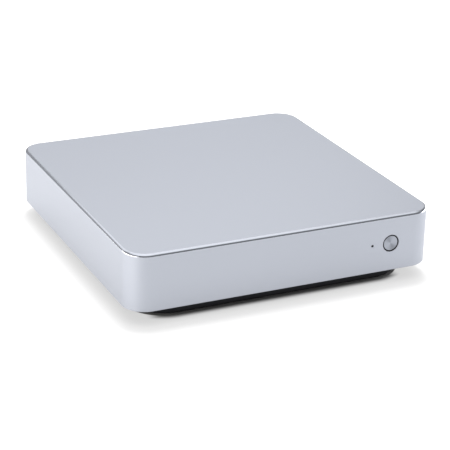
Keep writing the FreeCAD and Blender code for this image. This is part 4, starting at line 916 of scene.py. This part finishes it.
class PLAYER_OT_sockets(bpy.types.Operator):
    """Builds the power, network, data, video, line and microphone sockets with their contacts"""

    bl_idname = "player.sockets"
    bl_label = "Sockets"

    def execute(self, context):
        sizes = context.scene.player_sockets
        for node_name, name in (
            ("dc_jack_body", "power_socket"),
            ("lan_shell", "network_shield"),
            ("lan_insert", "network_insert"),
            ("usb_shell", "data_shield"),
            ("usb_tongues", "data_tongues"),
            ("hdmi_shell", "video_shield"),
            ("hdmi_insert", "video_insert"),
            ("line_housings", "line_housing"),
            ("line_core_left", "line_insulator_white"),
            ("line_core_right", "line_insulator_red"),
        ):
            dressed(node_name, name, sizes.bevel)
        dressed("lan_contacts", "network_wires", FINE_EDGE)
        self.power_pin()
        self.line_sleeves()
        dressed("mic_jacks", "microphone_jacks", sizes.bevel)
        self.microphone_threads(sizes.thread_pitch)
        self.microphone_nuts()
        self.data_contacts(sizes)
        self.video_contacts(sizes)
        return {"FINISHED"}

    def power_pin(self):
        """The power jack's centre pin with a round tip."""
        low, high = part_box("dc_jack_pin")
        radius = (high.x - low.x) / 2
        profile = [(radius * sine, high.y - radius * rise) for sine, rise in arc(math.pi / 2, 8)]
        profile += [(radius, low.y), (0.0, low.y)]
        pin = turned("power_pin", profile, (low + high) / 2, 40)
        soften(pin)
        settle(pin, "socket_metal", "case", "dc_jack_pin")

    def line_sleeves(self):
        """The line sockets' drawn sleeves, with rolled mouths."""
        low, high, step = pair_of("line_sleeves")
        radius, half = (high.x - low.x) / 2, (high.y - low.y) / 2
        wall, roll = radius * 0.108, radius * 0.05
        bore = radius - wall
        profile = [(bore, -half), (radius, -half), (radius, half - 2 * roll)]
        profile += [(radius - roll * 0.3, half - roll * 0.6), (radius - roll, half)]
        profile += [(bore + roll, half), (bore, half - roll), (bore, -half)]
        sleeve = turned("line_sleeve_tubes", profile, steps=72)
        repeated(sleeve, "socket_metal", (low + high) / 2, 2, step)
        soften(sleeve)
        settle(sleeve, "socket_metal", "case", "line_sleeves")

    def microphone_threads(self, pitch):
        """The thread crests along the microphone jacks' bushes, from the mouth to the nut."""
        nut_low, nut_high, _ = pair_of("mic_nuts")
        _, jack_high, step = pair_of("mic_jacks")
        centre = (nut_low + nut_high) / 2
        root, crest = BUSH_RADIUS - 0.1 * MM, BUSH_RADIUS + 0.04 * MM
        foot, flat, first = pitch * 0.42, pitch * 0.1, pitch * 0.6
        profile = [(root, -foot), (crest, -flat), (crest, flat), (root, foot), (root, -foot)]
        thread = turned("microphone_threads", profile, steps=56)
        count = int((jack_high.y - nut_high.y) / pitch)
        start = (centre.x, jack_high.y - first, centre.z)
        repeated(thread, "socket_metal", start, 2, step, count, (0.0, -pitch, 0.0))
        soften(thread)
        settle(thread, "socket_metal", "case")

    def microphone_nuts(self):
        """The jacks' hexagon nuts, with the turned chamfer on their corners."""
        low, high, step = pair_of("mic_nuts")
        wide, tall = high.x - low.x, high.z - low.z
        half, reach = (high.y - low.y) / 2, max(wide, tall) / 2
        flat = reach * math.cos(math.pi / 6)
        lean = 0.0 if tall > wide else math.pi / 6
        steps = 72
        bm = bmesh.new()

        def hexagon(y, limit):
            points = []
            for angle in (2 * math.pi * step / steps for step in range(steps)):
                side = min(limit, flat / math.cos((angle + lean) % (math.pi / 3) - math.pi / 6))
                points.append(bm.verts.new((side * math.cos(angle), y, side * math.sin(angle))))
            return points

        shoulder, crown = half - (reach - flat) * 0.6, flat * 0.985
        loops = [hexagon(-half, reach), hexagon(shoulder, reach), hexagon(half, crown)]
        loops += [circle(bm, NUT_BORE, y, Vector(), steps) for y in (half, -half)]
        skin(bm, loops + loops[:1])
        nut = from_bmesh("microphone_nuts", bm)
        repeated(nut, "socket_metal", (low + high) / 2, 2, step)
        soften(nut)
        settle(nut, "socket_metal", "case", "mic_nuts")

    def contacts(self, name, size, start, count, pitch, rise):
        """Two rows of gold contact blades with rounded edges. The start is the middle of the lower row."""
        bm = bmesh.new()
        bmesh.ops.create_cube(bm, size=1.0)
        bmesh.ops.scale(bm, vec=size, verts=bm.verts)
        blade = from_bmesh(name, bm)
        soften(blade, size[2] * 0.35)
        first = (start[0] - (count - 1) / 2 * pitch, start[1], start[2])
        repeated(blade, "contact_gold", first, count, (pitch, 0.0, 0.0), 2, (0.0, 0.0, rise))
        settle(blade, "contact_gold", "case")

    def data_contacts(self, sizes):
        """Four gold contacts under each data tongue."""
        (low, high), (upper_low, _) = sorted(solids_of("usb_tongues"), key=lambda box: box[0].z)
        tall, long, setback = 0.12 * MM, (high.y - low.y) * 0.8, 0.6 * MM
        start = ((low.x + high.x) / 2, high.y - long / 2 - setback, low.z - tall * CONTACT_SUNK)
        size = (sizes.contact_width, long, tall)
        self.contacts("data_contacts", size, start, 4, sizes.contact_pitch, upper_low.z - low.z)

    def video_contacts(self, sizes):
        """Gold contacts in a row above and below the video tongue."""
        low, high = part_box("hdmi_insert")
        tall, long, setback = 0.08 * MM, 5.0 * MM, 0.3 * MM
        drop = TONGUE_HALF + tall * CONTACT_SUNK
        start = ((low.x + high.x) / 2, high.y - long / 2 - setback, middle_of("hdmi_shell").z - drop)
        size = (sizes.fine_width, long, tall)
        self.contacts("video_contacts", size, start, 10, sizes.fine_pitch, 2 * drop)


class PLAYER_OT_insides(bpy.types.Operator):
    """Rounds the edges of the larger parts inside the case"""

    bl_idname = "player.insides"
    bl_label = "Insides"

    def execute(self, context):
        for node_name, name, millimetres in (
            ("drive_case", "drive_body", 0.5),
            ("drive_lid", "drive_cover", 0.2),
            ("heat_sink", "cooling_fins", 0.12),
            ("main_board", "circuit_board", 0.1),
            ("power_coils", "shielded_coils", 0.6),
            ("processor", "processor_package", 0.15),
            ("memory_chips", "memory_packages", 0.1),
            ("audio_chips", "sound_packages", 0.1),
            ("drive_socket", "drive_plug", 0.2),
            ("radio_shield", "radio_can", 0.3),
        ):
            dressed(node_name, name, millimetres * MM)
        return {"FINISHED"}


class PLAYER_OT_stage(bpy.types.Operator):
    """Builds the pale floor with its painted glow and painted shadow, the soft studio light and the camera"""

    bl_idname = "player.stage"
    bl_label = "Stage"

    def execute(self, context):
        scene = context.scene
        settings = scene.player_stage
        self.floor(settings, scene.player_base)
        self.sky(scene, settings)
        self.lights(settings)
        self.camera(scene, settings)
        scene.view_settings.view_transform = "Standard"
        scene.view_settings.look = "None"
        return {"FINISHED"}

    def floor(self, settings, base):
        """A wide pale floor that glows a little as painted light, with painted shadow where the glow is less
        close to the base.
        """
        bm = bmesh.new()
        bmesh.ops.create_grid(bm, x_segments=8, y_segments=8, size=FLOOR_HALF)
        floor = from_bmesh("floor", bm)
        colour = tuple(settings.floor_colour)
        material = finish_material("floor_white", colour, 0.85, fine=40.0, broad=2.0, tone=0.004, bump=0.0)
        tree = material.node_tree
        shader = next(made for made in tree.nodes if made.type == "BSDF_PRINCIPLED")
        gap, beside = self.base_distance(tree, base)
        # Painted shadow: the glow falls to nothing at the base, stays dim a little way in front of it and is
        # held to the shade's share out to its reach
        clear = maths("MULTIPLY", beside, ramp(gap, 0.0, settings.beside_reach))
        contact = maths("MAXIMUM", ramp(gap, 0.0, settings.contact_reach), clear)
        painted_shadow_band = ramp(gap, settings.shade_start, settings.shade_reach, settings.shade, 1.0)
        painted_floor_light = maths("MULTIPLY", contact, painted_shadow_band)
        glow = blend(painted_floor_light, rgba((0.0, 0.0, 0.0)), rgba((1.0, 1.0, 1.0)))
        tree.links.new(glow, shader.inputs["Emission Color"])
        shader.inputs["Emission Strength"].default_value = settings.floor_glow
        floor.data.materials.append(material)

    def base_distance(self, tree, base):
        """How far a place on the floor lies from the base, and a mask for the painted contact shadow: nought
        in front of the base, one beside.
        """
        low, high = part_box("top_cover")
        offset = vector_maths("SUBTRACT", place_on_piece(tree), (low + high) / 2)[0]
        parts = separated(offset)
        radius = base.corner_radius
        straight_x, straight_y = ((high[axis] - low[axis]) / 2 - base.inset - radius for axis in (0, 1))
        overs = []
        for axis, straight in (("X", straight_x), ("Y", straight_y)):
            beyond = maths("SUBTRACT", maths("ABSOLUTE", parts[axis]), straight)
            overs.append(maths("MAXIMUM", beyond, 0.0))
        squares = [maths("POWER", over, 2.0) for over in overs]
        reach = maths("SQRT", maths("ADD", *squares))
        gap = maths("MAXIMUM", maths("SUBTRACT", reach, radius), 0.0)
        front = -straight_y - radius
        behind = ramp(parts["Y"], front, front + radius / 3)
        beside = ramp(overs[0], radius / 3, radius * 0.8)
        return gap, maths("MAXIMUM", behind, beside)

    def sky(self, scene, settings):
        """Dim studio walls under a pale ceiling, with one pale wall behind and another behind on the left."""
        world = bpy.data.worlds.new("studio")
        world.use_nodes = True
        tree = world.node_tree
        tree.nodes.clear()
        outlook = node(tree, "ShaderNodeTexCoord")["Generated"]
        height = separated(outlook)["Z"]
        glow = ramp(height, CEILING_START, CEILING_FULL, settings.horizon, settings.zenith)
        for direction, strength in ((BACK_WALL, settings.back_glow), (LEFT_WALL, settings.left_glow)):
            glow = maths("ADD", glow, self.wall(outlook, direction, strength))
        background = node(tree, "ShaderNodeBackground", {"Color": rgba((1.0, 1.0, 1.0)), "Strength": glow})
        node(tree, "ShaderNodeOutputWorld", {"Surface": background[0]})
        scene.world = world

    def wall(self, outlook, direction, strength):
        """The glow of a pale wall, strongest in one direction."""
        towards = vector_maths("DOT_PRODUCT", outlook, Vector(direction).normalized())["Value"]
        facing = maths("MAXIMUM", towards, 0.0)
        return maths("MULTIPLY", maths("POWER", facing, WALL_FOCUS), strength)

    def lights(self, settings):
        """A key light above, kept out of the metal's reflections, low lights on both sides and one behind."""
        key = self.lamp("key", settings.key, place=(0.08, 0.20, 1.35), size=(0.35, 0.35))
        key.visible_glossy = False
        side = self.lamp("side", settings.side, place=(-0.70, 0.04, 0.10), size=(1.40, 0.14))
        side.data.color = settings.side_colour
        self.lamp("far_side", settings.far_side, place=(0.70, 0.05, 0.10), size=(0.80, 0.14))
        self.lamp("back", settings.back, place=(0.03, 0.55, 0.50), size=(1.00, 0.30))

    def lamp(self, name, power, place, size):
        """An oblong area light aimed at the middle of the floor."""
        data = bpy.data.lights.new(name, "AREA")
        data.shape = "RECTANGLE"
        data.size, data.size_y = size
        data.energy = power
        light = linked(name, data)
        light.location = place
        light.rotation_euler = (-light.location).to_track_quat("-Z", "Y").to_euler()
        return light

    def camera(self, scene, settings):
        """The camera at the photograph's angle."""
        data = bpy.data.cameras.new("camera")
        data.sensor_width = 36.0
        data.sensor_fit = "HORIZONTAL"
        data.lens = settings.lens
        data.clip_start, data.clip_end = 0.01, 60.0
        middle = middle_of("top_cover")
        place = Vector((middle.x + CAMERA_OFFSET[0], middle.y + CAMERA_OFFSET[1], CAMERA_HEIGHT))
        turn = Matrix.Rotation(settings.azimuth, 4, "Z")
        tilt = Matrix.Rotation(math.pi / 2 - settings.elevation, 4, "X")
        camera = linked("camera", data)
        camera.matrix_world = Matrix.Translation(place) @ turn @ tilt @ Matrix.Rotation(settings.roll, 4, "Z")
        scene.camera = camera


OPERATORS = (
    PLAYER_OT_finishes,
    PLAYER_OT_cover,
    PLAYER_OT_base,
    PLAYER_OT_button,
    PLAYER_OT_panel,
    PLAYER_OT_sockets,
    PLAYER_OT_insides,
    PLAYER_OT_stage,
)
SETTINGS = {
    "player_cover": CoverSettings,
    "player_base": BaseSettings,
    "player_button": ButtonSettings,
    "player_sockets": SocketSettings,
    "player_stage": StageSettings,
}


class PLAYER_PT_panel(bpy.types.Panel):
    """Lists the player's pieces and their settings"""

    bl_idname = "PLAYER_PT_panel"
    bl_label = "Karaoke player"
    bl_space_type = "VIEW_3D"
    bl_region_type = "UI"
    bl_category = "Player"

    def draw(self, context):
        for operator in OPERATORS:
            self.layout.operator(operator.bl_idname)
        for name, group in SETTINGS.items():
            box = self.layout.box()
            for key in group.__annotations__:
                box.prop(getattr(context.scene, name), key)


def register():
    """Registers the settings, the operators and the panel."""
    for name, group in SETTINGS.items():
        bpy.utils.register_class(group)
        setattr(bpy.types.Scene, name, bpy.props.PointerProperty(type=group))
    for made in (*OPERATORS, PLAYER_PT_panel):
        bpy.utils.register_class(made)


def unregister():
    """Takes the panel, the operators and the settings away again."""
    for made in (PLAYER_PT_panel, *reversed(OPERATORS)):
        bpy.utils.unregister_class(made)
    for name, group in SETTINGS.items():
        delattr(bpy.types.Scene, name)
        bpy.utils.unregister_class(group)


def main():
    """Builds every piece in order."""
    register()
    for operator in OPERATORS:
        area, name = operator.bl_idname.split(".")
        getattr(getattr(bpy.ops, area), name)()


if __name__ == "__main__":
    main()
